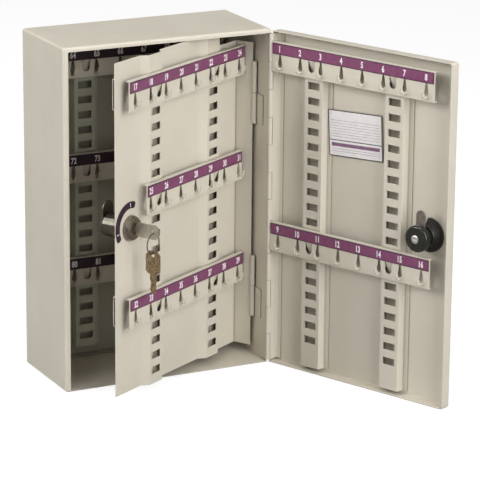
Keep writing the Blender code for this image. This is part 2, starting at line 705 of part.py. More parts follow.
def screw_mesh(name, seat, length):
    """A pan-head screw with a cross recess; its head sits behind the seat, its shank in front."""
    head = seat + SCREW_HEAD_HEIGHT
    profile = ((0, seat - length), (SCREW_SHANK_RADIUS, seat - length), (SCREW_SHANK_RADIUS, seat),
               (SCREW_HEAD_RADIUS, seat), (SCREW_HEAD_RADIUS, seat + SCREW_HEAD_HEIGHT / 2),
               (SCREW_HEAD_RADIUS * 3 / 4, head), (0, head))
    shape = bmesh.new()
    add_turned(shape, profile, "Y", (0, 0, 0), BARREL_STEPS, False)
    cross = bmesh.new()
    half = SCREW_RECESS_WIDTH / 2
    arm = SCREW_RECESS_LENGTH / 2
    outline = ((half, arm), (-half, arm), (-half, half), (-arm, half), (-arm, -half), (-half, -half),
               (-half, -arm), (half, -arm), (half, -half), (arm, -half), (arm, half), (half, half))
    add_prism(cross, outline, head - SCREW_RECESS, head + OVERRUN, "Y")
    return combine(finish_shape(shape, name), cross, "DIFFERENCE")


def make_door_lock(materials, door):
    """Housing and disc on the door; plug, cam, cap and screw on the turning frame."""
    plastic, metal = materials
    place_on_door = (-DOOR_LOCK_ACROSS, 0, DOOR_LOCK_UP)
    face = -DOOR_DEPTH - SEAT_GAP
    flange_start = face - DOOR_LOCK_FLANGE
    edge = DOOR_LOCK_FLANGE / 3
    housing = ((DOOR_LOCK_BORE_RADIUS, flange_start), (DOOR_LOCK_FLANGE_RADIUS - edge, flange_start),
               (DOOR_LOCK_FLANGE_RADIUS, flange_start + edge), (DOOR_LOCK_FLANGE_RADIUS, face),
               (DOOR_LOCK_CORE_RADIUS, face), (DOOR_LOCK_CORE_RADIUS, DOOR_CORE_END),
               (DOOR_LOCK_BORE_RADIUS, DOOR_CORE_END))
    shape = bmesh.new()
    add_turned(shape, housing, "Y", (0, 0, 0), ROUND_STEPS, True)
    mesh = finish_shape(shape, "door_lock_housing")
    smooth(add_object("door_lock_housing", mesh, plastic, door, place_on_door))
    start = DOOR_INNER + SEAT_GAP
    shape = bmesh.new()
    ring = tube(DOOR_DISC_RADIUS, DOOR_LOCK_CORE_RADIUS + SEAT_GAP, start, start + DOOR_DISC_DEPTH)
    add_turned(shape, ring, "Y", (0, 0, 0), ROUND_STEPS, True)
    notch = bmesh.new()
    add_box(notch, (-DOOR_DISC_NOTCH_SIDE, start - OVERRUN, DOOR_LOCK_CORE_RADIUS + DOOR_DISC_NOTCH_FOOT),
            (DOOR_DISC_RADIUS + OVERRUN, start + DOOR_DISC_DEPTH + OVERRUN, DOOR_DISC_RADIUS + OVERRUN))
    mesh = combine(finish_shape(shape, "door_lock_disc"), notch, "DIFFERENCE")
    smooth(add_object("door_lock_disc", mesh, plastic, door, place_on_door))

    turning = add_empty("door_lock_axis", door, place_on_door, (0, 0, 0))
    plug_end = DOOR_CORE_END + RUN_GAP / 4
    plug = plug_mesh("door_lock_plug", DOOR_LOCK_BORE_RADIUS - RUN_GAP, flange_start, plug_end,
                     DOOR_KEYWAY_DEPTH, SCREW_BITE + SHEET)
    smooth(add_object("door_lock_plug", plug, metal, turning))
    hole = SCREW_SHANK_RADIUS + RUN_GAP
    outline = cam_outline(DOOR_LOCK_CORE_RADIUS, DOOR_CAM_WIDTH, DOOR_CAM_REACH, ROUND_STEPS // 2)
    cam = plate_with_hole("door_lock_cam", outline, DOOR_CAM_START, DOOR_CAM_START + CAM_THICKNESS, hole,
                          BARREL_STEPS)
    smooth(add_object("door_lock_cam", cam, metal, turning))
    chamfer = DOOR_CAP_DEPTH / 5
    cap = ((hole, DOOR_CAP_START), (DOOR_CAP_RADIUS - chamfer / 2, DOOR_CAP_START),
           (DOOR_CAP_RADIUS, DOOR_CAP_START + chamfer),
           (DOOR_CAP_RADIUS - chamfer / 4, DOOR_CAP_END - chamfer),
           (DOOR_CAP_RADIUS - chamfer, DOOR_CAP_END), (hole, DOOR_CAP_END))
    shape = bmesh.new()
    add_turned(shape, cap, "Y", (0, 0, 0), ROUND_STEPS, True)
    smooth(add_object("door_lock_cap", finish_shape(shape, "door_lock_cap"), plastic, turning))
    seat = DOOR_CAP_END + SEAT_GAP
    length = seat - DOOR_CORE_END + SCREW_BITE
    smooth(add_object("door_lock_screw", screw_mesh("door_lock_screw", seat, length), metal, turning))


# Inner panel

REAR_STRIP_HALF = RIB_FACE_WIDTH / 2 + RIB_HEIGHT + REAR_FOOT_LAP
REAR_STRIP_EDGE = PANEL_BAR_CENTRE + STRIP_OFFSET + REAR_STRIP_HALF
PANEL_LOCK_ACROSS = REAR_STRIP_EDGE + PANEL_SLEEVE_STRIP_GAP + PANEL_SLEEVE_RADIUS
PANEL_LOCK_UP = BOTTOM + PANEL_LOCK_HEIGHT
PANEL_AXIS_X = RIGHT - PANEL_AXIS_SIDE
PANEL_AXIS_Y = FRONT + PANEL_SETBACK
PANEL_CAM_END = BACK_BAR_FRONT - PANEL_CAM_ROOM - PANEL_AXIS_Y
PANEL_CAM_START = PANEL_CAM_END - CAM_THICKNESS
PANEL_CORE_END = PANEL_CAM_START - RUN_GAP


def make_panel(material, parent, places):
    """The inner panel: a flanged sheet with two slotted ribs pressed to the front."""
    middle = PANEL_BASE + SHEET / 2
    flange = PANEL_FLANGE_SIDE - SHEET / 2
    ribs = (PANEL_BAR_CENTRE - STRIP_OFFSET, PANEL_BAR_CENTRE + STRIP_OFFSET)
    half = RIB_FACE_WIDTH / 2
    path = [(flange, PANEL_FLANGE_FRONT), (flange, middle)]
    for centre in ribs:
        path += [(-centre + half + RIB_HEIGHT, middle), (-centre + half, middle - RIB_HEIGHT),
                 (-centre - half, middle - RIB_HEIGHT), (-centre - half - RIB_HEIGHT, middle)]
    path.append((-PANEL_WIDTH, middle))
    shape = bmesh.new()
    add_prism(shape, sheet_outline(path, SHEET), PANEL_LOW, PANEL_HIGH, "Z")
    mesh = finish_shape(shape, "inner_panel")
    notch = bmesh.new()
    add_box(notch, (-PANEL_NOTCH_WIDTH, PANEL_FLANGE_FRONT - OVERRUN, PANEL_HIGH - PANEL_NOTCH_DEPTH),
            (PANEL_FLANGE_SIDE + OVERRUN, PANEL_BACK + OVERRUN, PANEL_HIGH + OVERRUN))
    mesh = combine(mesh, notch, "DIFFERENCE")
    slots = bmesh.new()
    for centre in ribs:
        add_slots(slots, -centre, places, middle - RIB_HEIGHT - OVERRUN, middle - RIB_HEIGHT + OVERRUN)
    mesh = combine(mesh, slots, "DIFFERENCE")
    hole = bmesh.new()
    lock_hole = circle(PANEL_LOCK_RADIUS + LOCK_HOLE_GAP, ROUND_STEPS, (-PANEL_LOCK_ACROSS, PANEL_LOCK_UP))
    add_prism(hole, lock_hole, PANEL_BASE - OVERRUN, PANEL_BACK + OVERRUN, "Y")
    mesh = combine(mesh, hole, "DIFFERENCE")
    add_object("inner_panel", mesh, material, parent)


def make_lift_hinge(name, low, materials, panel, axis):
    """A lift-off hinge: wall half below with its pin, panel half above."""
    metal, steel = materials
    split = low + LIFT_KNUCKLE
    high = split + LIFT_GAP + LIFT_KNUCKLE
    outer = PANEL_AXIS_SIDE - SHEET - SEAT_GAP
    inner = PANEL_FLANGE_SIDE + SEAT_GAP
    halves = (
        (name + "_wall_half", (low, split), (outer - SHEET, outer), (-LIFT_LEAF, 0), None, axis),
        (name + "_panel_half", (split + LIFT_GAP, high), (inner, inner + SHEET), (0, LIFT_LEAF), panel,
         (0, 0, 0)))
    for half_name, span, across, deep, parent, location in halves:
        shape = bmesh.new()
        add_box(shape, (across[0], deep[0], span[0] + LIFT_LEAF_INSET),
                (across[1], deep[1], span[1] - LIFT_LEAF_INSET))
        barrel = bmesh.new()
        add_turned(barrel, rod(LIFT_HINGE_RADIUS, span[0], span[1]), "Z", (0, 0, 0), BARREL_STEPS, False)
        mesh = combine(finish_shape(shape, half_name), barrel, "UNION")
        bore = bmesh.new()
        hollow = rod(LIFT_BORE_RADIUS, low + LIFT_PIN_MARGIN - SEAT_GAP, high - LIFT_PIN_MARGIN + SEAT_GAP)
        add_turned(bore, hollow, "Z", (0, 0, 0), BARREL_STEPS, False)
        mesh = combine(mesh, bore, "DIFFERENCE")
        smooth(add_object(half_name, mesh, metal, parent, location))
    shape = bmesh.new()
    add_turned(shape, rod(LIFT_PIN_RADIUS, low + LIFT_PIN_MARGIN, high - LIFT_PIN_MARGIN), "Z", (0, 0, 0),
               BARREL_STEPS, False)
    smooth(add_object(name + "_pin", finish_shape(shape, name + "_pin"), steel, None, axis))


def key_outline(blade, bow, out, blade_height, bow_height):
    """A flat key along -Y from the tip at blade to the bow's end at -out, seen from its side."""
    corner = bow_height / 4
    half = blade_height / 2
    wide = bow_height / 2
    start = -out + bow
    bite = blade_height / 5
    tip = [(blade - half / 2, -half), (blade, -half / 2), (blade - half / 2, half / 2)]
    teeth = [(blade * 3 / 4, half), (blade / 2, half - bite), (blade / 4, half)]
    upper = [(start + KEY_SHOULDER, half), (start, wide - corner / 2), (start - corner / 2, wide)]
    end = [(-out + corner, wide), (-out, wide - corner), (-out, -wide + corner), (-out + corner, -wide)]
    lower = [(along, -up) for along, up in upper[::-1]]
    return tip + teeth + upper + end + lower


def key_mesh(name, outline, hole_at, hole_radius):
    """A flat key with a round hole in its bow."""
    shape = bmesh.new()
    add_prism(shape, outline, -KEY_THICKNESS / 2, KEY_THICKNESS / 2, "X")
    hole = bmesh.new()
    add_prism(hole, circle(hole_radius, BARREL_STEPS, hole_at), -KEY_THICKNESS / 2 - OVERRUN,
              KEY_THICKNESS / 2 + OVERRUN, "X")
    return combine(finish_shape(shape, name), hole, "DIFFERENCE")


def make_panel_lock(materials, panel):
    """Body and sleeve on the panel; plug, cam, screw and keys on the turning frame."""
    chrome, brass = materials
    place_on_panel = (-PANEL_LOCK_ACROSS, 0, PANEL_LOCK_UP)
    seat = PANEL_BASE - SEAT_GAP
    face = seat - BEZEL_DEPTH
    bore = PANEL_PLUG_RADIUS + RUN_GAP
    round_off = BEZEL_DEPTH / 2
    body = ((bore, face), (BEZEL_RADIUS - round_off, face),
            (BEZEL_RADIUS - round_off / 3, face + round_off / 3), (BEZEL_RADIUS, face + round_off),
            (BEZEL_RADIUS, seat), (PANEL_LOCK_RADIUS, seat),
            (PANEL_LOCK_RADIUS, PANEL_CORE_END), (bore, PANEL_CORE_END))
    shape = bmesh.new()
    add_turned(shape, body, "Y", (0, 0, 0), ROUND_STEPS, True)
    mesh = finish_shape(shape, "panel_lock_body")
    smooth(add_object("panel_lock_body", mesh, chrome, panel, place_on_panel))
    sleeve = tube(PANEL_SLEEVE_RADIUS, PANEL_LOCK_RADIUS + LOCK_HOLE_GAP, PANEL_BACK + SEAT_GAP,
                  PANEL_CORE_END - SHEET)
    shape = bmesh.new()
    add_turned(shape, sleeve, "Y", (0, 0, 0), ROUND_STEPS, True)
    mesh = finish_shape(shape, "panel_lock_sleeve")
    smooth(add_object("panel_lock_sleeve", mesh, chrome, panel, place_on_panel))

    turning = add_empty("panel_lock_axis", panel, place_on_panel, (0, 0, 0))
    plug = plug_mesh("panel_lock_plug", PANEL_PLUG_RADIUS, face - SEAT_GAP, PANEL_CORE_END + RUN_GAP / 4,
                     KEYWAY_DEPTH, SCREW_BITE + SHEET)
    smooth(add_object("panel_lock_plug", plug, chrome, turning))
    hole = SCREW_SHANK_RADIUS + RUN_GAP
    outline = cam_outline(PANEL_SLEEVE_RADIUS - SHEET, PANEL_CAM_WIDTH, PANEL_CAM_REACH, ROUND_STEPS // 2)
    cam = plate_with_hole("panel_lock_cam", outline, PANEL_CAM_START, PANEL_CAM_END, hole, BARREL_STEPS)
    smooth(add_object("panel_lock_cam", cam, chrome, turning))
    screw_seat = PANEL_CAM_END + SEAT_GAP
    length = screw_seat - PANEL_CORE_END + SCREW_BITE
    screw = screw_mesh("panel_lock_screw", screw_seat, length)
    smooth(add_object("panel_lock_screw", screw, chrome, turning))

    blade = KEYWAY_DEPTH - SHEET
    outline = [(face + first, second) for first, second in
               key_outline(blade, KEY_BOW_LENGTH, KEY_OUT, KEY_BLADE_HEIGHT, KEY_BOW_HEIGHT)]
    hole_place = face - KEY_HOLE_OUT
    key = key_mesh("panel_key", outline, (hole_place, 0), KEY_HOLE_RADIUS)
    smooth(add_object("panel_key", key, chrome, turning))

    rest_offset = KEY_HOLE_RADIUS - RING_WIRE_RADIUS - SEAT_GAP
    drop = RING_RADIUS + rest_offset
    ring_frame = add_empty("key_ring_axis", turning, (0, hole_place, 0), (0, 0, 0))
    shape = bmesh.new()
    wire = [(RING_RADIUS + first, second) for first, second in circle(RING_WIRE_RADIUS, WIRE_STEPS, (0, 0))]
    add_turned(shape, wire, "Y", (0, 0, -drop), ROUND_STEPS, True)
    smooth(add_object("key_ring", finish_shape(shape, "key_ring"), chrome, ring_frame))

    spare_axis = -drop - RING_RADIUS - rest_offset
    spare_frame = add_empty("spare_key_axis", ring_frame, (0, 0, spare_axis), (0, 0, 0))
    hang = key_outline(SPARE_LENGTH - SPARE_BOW_LENGTH, SPARE_BOW_LENGTH, SPARE_BOW_LENGTH,
                       KEY_BLADE_HEIGHT, SPARE_BOW_WIDTH)
    outline = [(second, SPARE_HOLE_DROP - SPARE_BOW_LENGTH - first) for first, second in hang]
    spare = key_mesh("spare_key", outline, (0, 0), KEY_HOLE_RADIUS)
    smooth(add_object("spare_key", spare, brass, spare_frame))


def make_turn_label(material, panel):
    """The curved label beside the lock that shows its two positions."""
    centre = (-PANEL_LOCK_ACROSS, PANEL_LOCK_UP + ARC_RISE)
    start = math.pi / 2 + ARC_START_ANGLE
    end = math.pi / 2 + ARC_END_ANGLE
    outer = arc(ARC_RADIUS + ARC_WIDTH / 2, start, end, ROUND_STEPS // 2, centre)
    inner = arc(ARC_RADIUS - ARC_WIDTH / 2, end, start, ROUND_STEPS // 2, centre)
    shape = bmesh.new()
    face = PANEL_BASE - SEAT_GAP
    add_prism(shape, outer + inner, face - ARC_THICKNESS, face, "Y")
    add_object("turn_label", finish_shape(shape, "turn_label"), material, panel)


def make_keeper(material):
    """The angle on the left wall that the inner panel's cam turns behind."""
    wall = LEFT + SHEET + SEAT_GAP
    plane = PANEL_AXIS_Y + PANEL_CAM_START - KEEPER_ROOM - SHEET / 2
    tip = PANEL_AXIS_X - PANEL_LOCK_ACROSS - PANEL_CAM_REACH + KEEPER_REACH_MARGIN
    path = ((wall + SHEET / 2, plane - KEEPER_LEG), (wall + SHEET / 2, plane), (tip, plane))
    shape = bmesh.new()
    add_prism(shape, sheet_outline(path, SHEET), PANEL_LOCK_UP - KEEPER_HEIGHT / 2,
              PANEL_LOCK_UP + KEEPER_HEIGHT / 2, "Z")
    add_object("panel_keeper", finish_shape(shape, "panel_keeper"), material)


# The whole cabinet

def clear_scene():
    """Remove the objects that a new file starts with."""
    for item in list(bpy.data.objects):
        bpy.data.objects.remove(item)


def build():
    """Model every piece in the photographed pose."""
    clear_scene()
    paint = make_material("grey_powder_coat", (0.62, 0.58, 0.50), 0.45, 0.0)
    film = make_material("purple_label_film", (0.21, 0.06, 0.16), 0.40, 0.0)
    paper = make_material("white_card", (0.82, 0.81, 0.78), 0.65, 0.0)
    plastic = make_material("black_moulded_plastic", (0.02, 0.02, 0.02), 0.35, 0.0)
    chrome = make_material("bright_nickel_plate", (0.62, 0.61, 0.59), 0.18, 1.0)
    zinc = make_material("zinc_plated_steel", (0.46, 0.43, 0.40), 0.38, 1.0)
    brass = make_material("worn_brass", (0.48, 0.33, 0.19), 0.35, 1.0)

    door_axis = (RIGHT, FRONT, 0)
    panel_axis = (PANEL_AXIS_X, PANEL_AXIS_Y, 0)
    door = add_empty("door_axis", None, door_axis, (0, 0, DOOR_REST_ANGLE))
    panel = add_empty("panel_axis", None, panel_axis, (0, 0, PANEL_REST_ANGLE))

    make_shell(paint)
    make_back(paint)
    make_keeper(paint)
    make_door_tray(paint, door)
    make_long_hinge(paint, zinc, door, door_axis)
    make_card(paper, door)
    make_door_lock((plastic, zinc), door)

    full = bar_mesh("hook_bar", BAR_LENGTH, BAR_END_MARGIN, HOOKS_PER_BAR, (-STRIP_OFFSET, STRIP_OFFSET))
    short_length = (HOOKS_PER_BAR - 2) * HOOK_PITCH + 2 * SHORT_BAR_END_MARGIN
    shift = HOOK_PITCH / 2
    front_short = bar_mesh("short_hook_bar", short_length, SHORT_BAR_END_MARGIN, HOOKS_PER_BAR - 1,
                           (-STRIP_OFFSET - shift, STRIP_OFFSET - shift))
    rear_short = bar_mesh("short_rear_hook_bar", short_length, SHORT_BAR_END_MARGIN, HOOKS_PER_BAR - 1,
                          (-STRIP_OFFSET + shift, STRIP_OFFSET + shift))
    full_label = label_mesh("label", BAR_LENGTH)
    short_label = label_mesh("short_label", short_length)
    finishes = (paint, film)

    back_top = PANEL_HIGH
    back_places = slot_places(BOTTOM + BACK_SLOT_BASE, back_top)
    strip = strip_mesh("back_strip", STRIP_HEIGHT, STRIP_FOOT, BOTTOM + BACK_STRIP_BOTTOM, back_top,
                       back_places)
    strip_face = BACK_INNER - SEAT_GAP - STRIP_HEIGHT
    for side, across in (("left", -STRIP_OFFSET), ("right", STRIP_OFFSET)):
        add_object("back_strip_" + side, strip, paint, None, (across, BACK_INNER - SEAT_GAP, 0))
    names = ("back_bar_top", "back_bar_middle", "back_bar_bottom")
    for name, foot in zip(names, row_heights(back_places, BACK_ROW_SHARES)):
        add_bar(name, (full, full_label), finishes, None, (0, strip_face, foot), 0)

    door_low = DOOR_BOTTOM + STRIP_END_MARGIN
    door_high = DOOR_TOP - DOOR_STRIP_TOP_MARGIN
    door_places = slot_places(BOTTOM + DOOR_SLOT_BASE, door_high)
    strip = strip_mesh("door_strip", STRIP_HEIGHT, STRIP_FOOT, door_low, door_high, door_places)
    door_feet = DOOR_INNER + SEAT_GAP
    sides = (("hinge_side", -STRIP_OFFSET), ("free_side", STRIP_OFFSET))
    for side, offset in sides:
        across = DOOR_BAR_CENTRE + offset
        add_object("door_strip_" + side, strip, paint, door, (-across, door_feet, 0), (0, 0, math.pi))
    under_lock = row_under(door_places, DOOR_LOCK_UP - DOOR_DISC_RADIUS - DOOR_LOCK_BAR_GAP)
    door_rows = (door_places[-1] - BAR_BELOW_SLOT, under_lock)
    for name, foot in zip(("door_bar_top", "door_bar_bottom"), door_rows):
        add_bar(name, (full, full_label), finishes, door,
                (-DOOR_BAR_CENTRE, door_feet + STRIP_HEIGHT, foot), math.pi)

    panel_places = slot_places(BOTTOM + PANEL_SLOT_BASE, PANEL_HIGH - PANEL_NOTCH_DEPTH)
    make_panel(paint, panel, panel_places)
    rear_foot = REAR_STRIP_HALF - STRIP_FACE_WIDTH / 2 - STRIP_FLANK
    strip = strip_mesh("rear_strip", REAR_STRIP_HEIGHT, rear_foot, PANEL_LOW, PANEL_HIGH - PANEL_NOTCH_DEPTH,
                       panel_places)
    rear_feet = PANEL_BACK + SEAT_GAP
    for side, offset in sides:
        across = PANEL_BAR_CENTRE + offset
        add_object("panel_rear_strip_" + side, strip, paint, panel, (-across, rear_feet, 0), (0, 0, math.pi))
    rib_face = PANEL_BASE - RIB_HEIGHT
    rows = row_heights(panel_places, ROW_SHARES)
    for row, foot in zip(("top", "middle", "bottom"), rows):
        short = row == "middle"
        across = -PANEL_BAR_CENTRE + (shift if short else 0)
        front = (front_short, short_label) if short else (full, full_label)
        rear = (rear_short, short_label) if short else (full, full_label)
        add_bar("panel_front_bar_" + row, front, finishes, panel, (across, rib_face, foot), 0)
        add_bar("panel_rear_bar_" + row, rear, finishes, panel,
                (across, rear_feet + REAR_STRIP_HEIGHT, foot), math.pi)

    upper = TOP - UPPER_HINGE_TOP_MARGIN - 2 * LIFT_KNUCKLE - LIFT_GAP
    make_lift_hinge("upper_lift_hinge", upper, (paint, zinc), panel, panel_axis)
    make_lift_hinge("lower_lift_hinge", BOTTOM + LOWER_HINGE_BOTTOM, (paint, zinc), panel, panel_axis)
    make_panel_lock((chrome, brass), panel)
    make_turn_label(film, panel)


build()
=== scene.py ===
# %% [markdown]
# A wall key cabinet stands open: the outer door is swung right round, the inner key panel is ajar.
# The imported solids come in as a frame, and every piece made below rides on one of its bodies.
# Real sizes are kept in metres, so a detail of one millimetre is written as 1 * MM.

# %% Load the frame
import json
import math

import bmesh
import bpy
from mathutils import Matrix, Vector

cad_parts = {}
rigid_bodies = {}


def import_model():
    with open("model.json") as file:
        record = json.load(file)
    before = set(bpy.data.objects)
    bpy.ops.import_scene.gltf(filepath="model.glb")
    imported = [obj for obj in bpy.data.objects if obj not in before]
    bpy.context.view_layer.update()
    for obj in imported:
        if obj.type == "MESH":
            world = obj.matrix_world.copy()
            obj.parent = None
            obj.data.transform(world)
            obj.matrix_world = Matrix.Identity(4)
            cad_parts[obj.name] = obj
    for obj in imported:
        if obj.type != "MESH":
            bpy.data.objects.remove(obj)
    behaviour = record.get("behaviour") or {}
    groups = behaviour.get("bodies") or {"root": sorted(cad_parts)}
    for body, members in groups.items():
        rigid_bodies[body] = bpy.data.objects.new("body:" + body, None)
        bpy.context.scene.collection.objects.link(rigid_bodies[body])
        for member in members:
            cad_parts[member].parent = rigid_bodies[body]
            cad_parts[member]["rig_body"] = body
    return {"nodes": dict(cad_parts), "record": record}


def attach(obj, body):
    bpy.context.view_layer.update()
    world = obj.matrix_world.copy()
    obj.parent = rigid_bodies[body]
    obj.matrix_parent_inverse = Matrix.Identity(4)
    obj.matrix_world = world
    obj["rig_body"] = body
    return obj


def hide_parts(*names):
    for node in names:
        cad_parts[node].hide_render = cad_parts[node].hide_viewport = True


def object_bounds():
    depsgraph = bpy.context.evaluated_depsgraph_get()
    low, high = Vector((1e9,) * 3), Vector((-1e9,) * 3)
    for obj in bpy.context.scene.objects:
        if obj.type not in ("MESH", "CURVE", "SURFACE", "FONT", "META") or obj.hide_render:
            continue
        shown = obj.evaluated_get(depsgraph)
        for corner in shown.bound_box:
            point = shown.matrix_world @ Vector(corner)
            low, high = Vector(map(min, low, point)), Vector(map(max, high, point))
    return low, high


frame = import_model()
cad_low, cad_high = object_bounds()
NODES = frame["nodes"]
MM = 0.001
print("nodes", len(NODES), "size in mm", [round(side / MM, 1) for side in cad_high - cad_low])


# %% [markdown]
# Colours are written as they look on a screen and turned to linear light by one function.
# One more function adds a shader node, sets its inputs and links whatever is a socket.
# Every texture reads Object coordinates, which are metres here, so a grain size is a real size.

# %% Colour and node helpers
def linear(code):
    """The linear RGBA colour of a screen colour such as CEC8BA."""
    parts = [int(code[start:start + 2], 16) / 255 for start in (0, 2, 4)]
    return tuple(part / 12.92 if part <= 0.04045 else ((part + 0.055) / 1.055) ** 2.4
                 for part in parts) + (1.0,)


def add_node(material, kind, inputs=None, **settings):
    """Add a node, set its settings, and set or link its inputs."""
    node = material.node_tree.nodes.new("ShaderNode" + kind)
    for name, value in settings.items():
        setattr(node, name, value)
    for name, value in (inputs or {}).items():
        if isinstance(value, bpy.types.NodeSocket):
            material.node_tree.links.new(value, node.inputs[name])
        else:
            node.inputs[name].default_value = value
    return node


def new_material(name, **shader_values):
    """A Principled material with plain values on its own sockets."""
    material = bpy.data.materials.new(name)
    material.use_nodes = True
    shader = material.node_tree.nodes["Principled BSDF"]
    for socket, value in shader_values.items():
        shader.inputs[socket.replace("_", " ")].default_value = value
    coordinates = add_node(material, "TexCoord").outputs["Object"]
    return material, shader, coordinates


# Noise seldom leaves this middle stretch, so a pattern runs from its first to its second value within it.
NOISE_SHARES = (0.3, 0.7)


def mottle(material, at, grain, first, second, detail=2.0):
    """A colour that wanders between two, in patches about one grain across."""
    patches = add_node(material, "TexNoise", {"Vector": at, "Scale": 1 / grain, "Detail": detail})
    ramp = add_node(material, "ValToRGB", {"Fac": patches.outputs["Fac"]})
    for stop, share, colour in zip(ramp.color_ramp.elements, NOISE_SHARES, (first, second)):
        stop.position = share
        stop.color = linear(colour)
    return ramp.outputs["Color"]


def join(material, socket, shader, name):
    """Link a socket to a named input of the shader."""
    material.node_tree.links.new(socket, shader.inputs[name])


def vary_gloss(material, shader, at, grain, low, high, detail=2.0):
    """Roughness that wanders between two values, in patches about one grain across."""
    patches = add_node(material, "TexNoise", {"Vector": at, "Scale": 1 / grain, "Detail": detail})
    wander = add_node(material, "MapRange", {
        "Value": patches.outputs["Fac"], "From Min": NOISE_SHARES[0], "From Max": NOISE_SHARES[1],
        "To Min": low, "To Max": high})
    join(material, wander.outputs["Result"], shader, "Roughness")


def add_relief(material, shader, at, grain, depth, detail=2.0):
    """A fine relief of a real depth, about one grain across."""
    peaks = add_node(material, "TexNoise", {"Vector": at, "Scale": 1 / grain, "Detail": detail})
    bump = add_node(material, "Bump", {"Height": peaks.outputs["Fac"], "Distance": depth, "Strength": 1.0})
    join(material, bump.outputs["Normal"], shader, "Normal")


print("grey as linear light", [round(part, 3) for part in linear("CEC8BA")])


# %% [markdown]
# The cabinet is powder coated: a warm grey, half gloss, with the faint orange peel of baked powder.
# Two noises do it, one as wide as a hand for the uneven coat and one about a millimetre for the peel.
# Each fold shows a thin dark line of painted shade: the coat darkens a few millimetres round a corner.
# It is also very dark inside the body and behind the bars. Lamps alone did not get it that dark, so the
# back, its strips and the bars' inner faces have darker coats that stand for the shade. The real ones
# most likely have the same grey as the rest, and under another light these coats look too dark.

# %% Powder coat
# Painted shade in the folds: how far it reaches and how dark it gets.
FOLD_SHADE_REACH = 3.5 * MM
FOLD_SHADE_SHARES = (0.4, 0.85)
FOLD_SHADE_DARK_SHARE = 0.42


def make_paint(name, first, second):
    """Powder coat on sheet steel, half gloss, between two colours, with painted shade that darkens its
    folds.
    """
    material, shader, at = new_material(name, Metallic=0.0)
    colour = mottle(material, at, 90 * MM, first, second, 3.0)
    # Painted shade: the colour darkens where the sheet closes round it within a few millimetres.
    opened = add_node(material, "AmbientOcclusion", {"Distance": FOLD_SHADE_REACH}, samples=8).outputs["AO"]
    shade = add_node(material, "MapRange", {
        "Value": opened, "From Min": FOLD_SHADE_SHARES[0], "From Max": FOLD_SHADE_SHARES[1],
        "To Min": FOLD_SHADE_DARK_SHARE, "To Max": 1.0}).outputs["Result"]
    shaded = add_node(material, "VectorMath", {0: colour, 1: shade}, operation="MULTIPLY").outputs["Vector"]
    join(material, shaded, shader, "Base Color")
    vary_gloss(material, shader, at, 25 * MM, 0.34, 0.44)
    add_relief(material, shader, at, 1.1 * MM, 0.02 * MM, 1.0)
    return material


def make_hollow_shade_coat():
    """The dull dark coat behind the bars: painted shade, which stands for the shade there."""
    material, shader, at = new_material("painted_shade_in_hollows", Metallic=0.0, Roughness=0.7)
    join(material, mottle(material, at, 5 * MM, "5A554B", "6B655A", 3.0), shader, "Base Color")
    add_relief(material, shader, at, 0.8 * MM, 0.02 * MM)
    return material


# Warm grey for the whole cabinet.
paint = make_paint("grey_powder_coat", "D0C9BA", "D7D0C1")
# Painted shade: a darker grey for the back, which stands for the shade of the body.
back_shade_paint = make_paint("painted_shade_back_coat", "ADA99B", "B7B3A5")
# Painted shade: a darker, greenish grey for the strips on the back, which stands for the shade there.
strip_shade_paint = make_paint("greenish_painted_shade_coat", "BCBDAA", "C6C6B4")
hollow_shade_coat = make_hollow_shade_coat()
print("made", paint.name, back_shade_paint.name, strip_shade_paint.name, hollow_shade_coat.name)


# %% [markdown]
# The number strips are a printed plastic film, purple with a thin dark line round it and white numbers.
# The films inside the body are nearly black in the photograph. They are most likely the same purple in
# deep shade, and the dark plum film stands for that shade.

# %% Printed films and card
def make_film(name, first, second, roughness):
    """A printed plastic film or paper with a slightly uneven ink."""
    material, shader, at = new_material(name, Roughness=roughness)
    join(material, mottle(material, at, 6 * MM, first, second), shader, "Base Color")
    add_relief(material, shader, at, 0.8 * MM, 0.01 * MM)
    return material


# Glossy film, on which the lamps leave a soft streak.
purple_film = make_film("purple_printed_film", "7A4063", "84496F", 0.34)
back_film = make_film("dark_plum_film", "33212E", "3C2836", 0.4)
dark_film = make_film("dark_printed_line", "2A1626", "341C2F", 0.36)
# Dull inks and card, which spread the light evenly.
white_ink = make_film("white_printed_ink", "EDEAEA", "F6F3F4", 0.45)
card_paper = make_film("white_card_paper", "E9E6E6", "F3F0F1", 0.55)
dark_ink = make_film("dark_printed_ink", "2B262A", "39333A", 0.5)
grey_ink = make_film("grey_printed_ink", "8E878D", "A29AA2", 0.5)
violet_ink = make_film("violet_printed_ink", "7D5A78", "8F6C8A", 0.5)
print("made", purple_film.name, back_film.name, white_ink.name, card_paper.name)


# %% [markdown]
# The outer lock is black moulded plastic: its cap is polished by the tool, its ridged foot is duller.

# %% Black plastic
def make_plastic(name, low, high):
    """Black moulded plastic with a fine grain; its gloss lies between two roughnesses."""
    material, shader, at = new_material(name)
    shader.inputs["Base Color"].default_value = linear("1F1F1A")
    vary_gloss(material, shader, at, 4 * MM, low, high)
    add_relief(material, shader, at, 0.5 * MM, 0.01 * MM)
    return material


black_plastic = make_plastic("black_moulded_plastic", 0.18, 0.30)
dull_plastic = make_plastic("black_dull_plastic", 0.42, 0.55)
print("made", black_plastic.name, dull_plastic.name)


# %% [markdown]
# The inner lock is nickel plated: bright outside, darker on its plug and dull on its sleeve and cam.
# Pins and the outer lock's cam are zinc plated steel, and the spare key is worn brass. One function
# makes them all, because they differ only in tone, in the size of their patches and in their gloss.

# %% Metals
def make_metal(name, first, second, grain, low, high, marks=0.006 * MM):
    """A metal with uneven tone and fine handling marks; its gloss lies between two roughnesses."""
    material, shader, at = new_material(name, Metallic=1.0)
    join(material, mottle(material, at, grain, first, second, 4.0), shader, "Base Color")
    vary_gloss(material, shader, at, 1.6 * MM, low, high, 3.0)
    add_relief(material, shader, at, 1.2 * MM, marks)
    return material


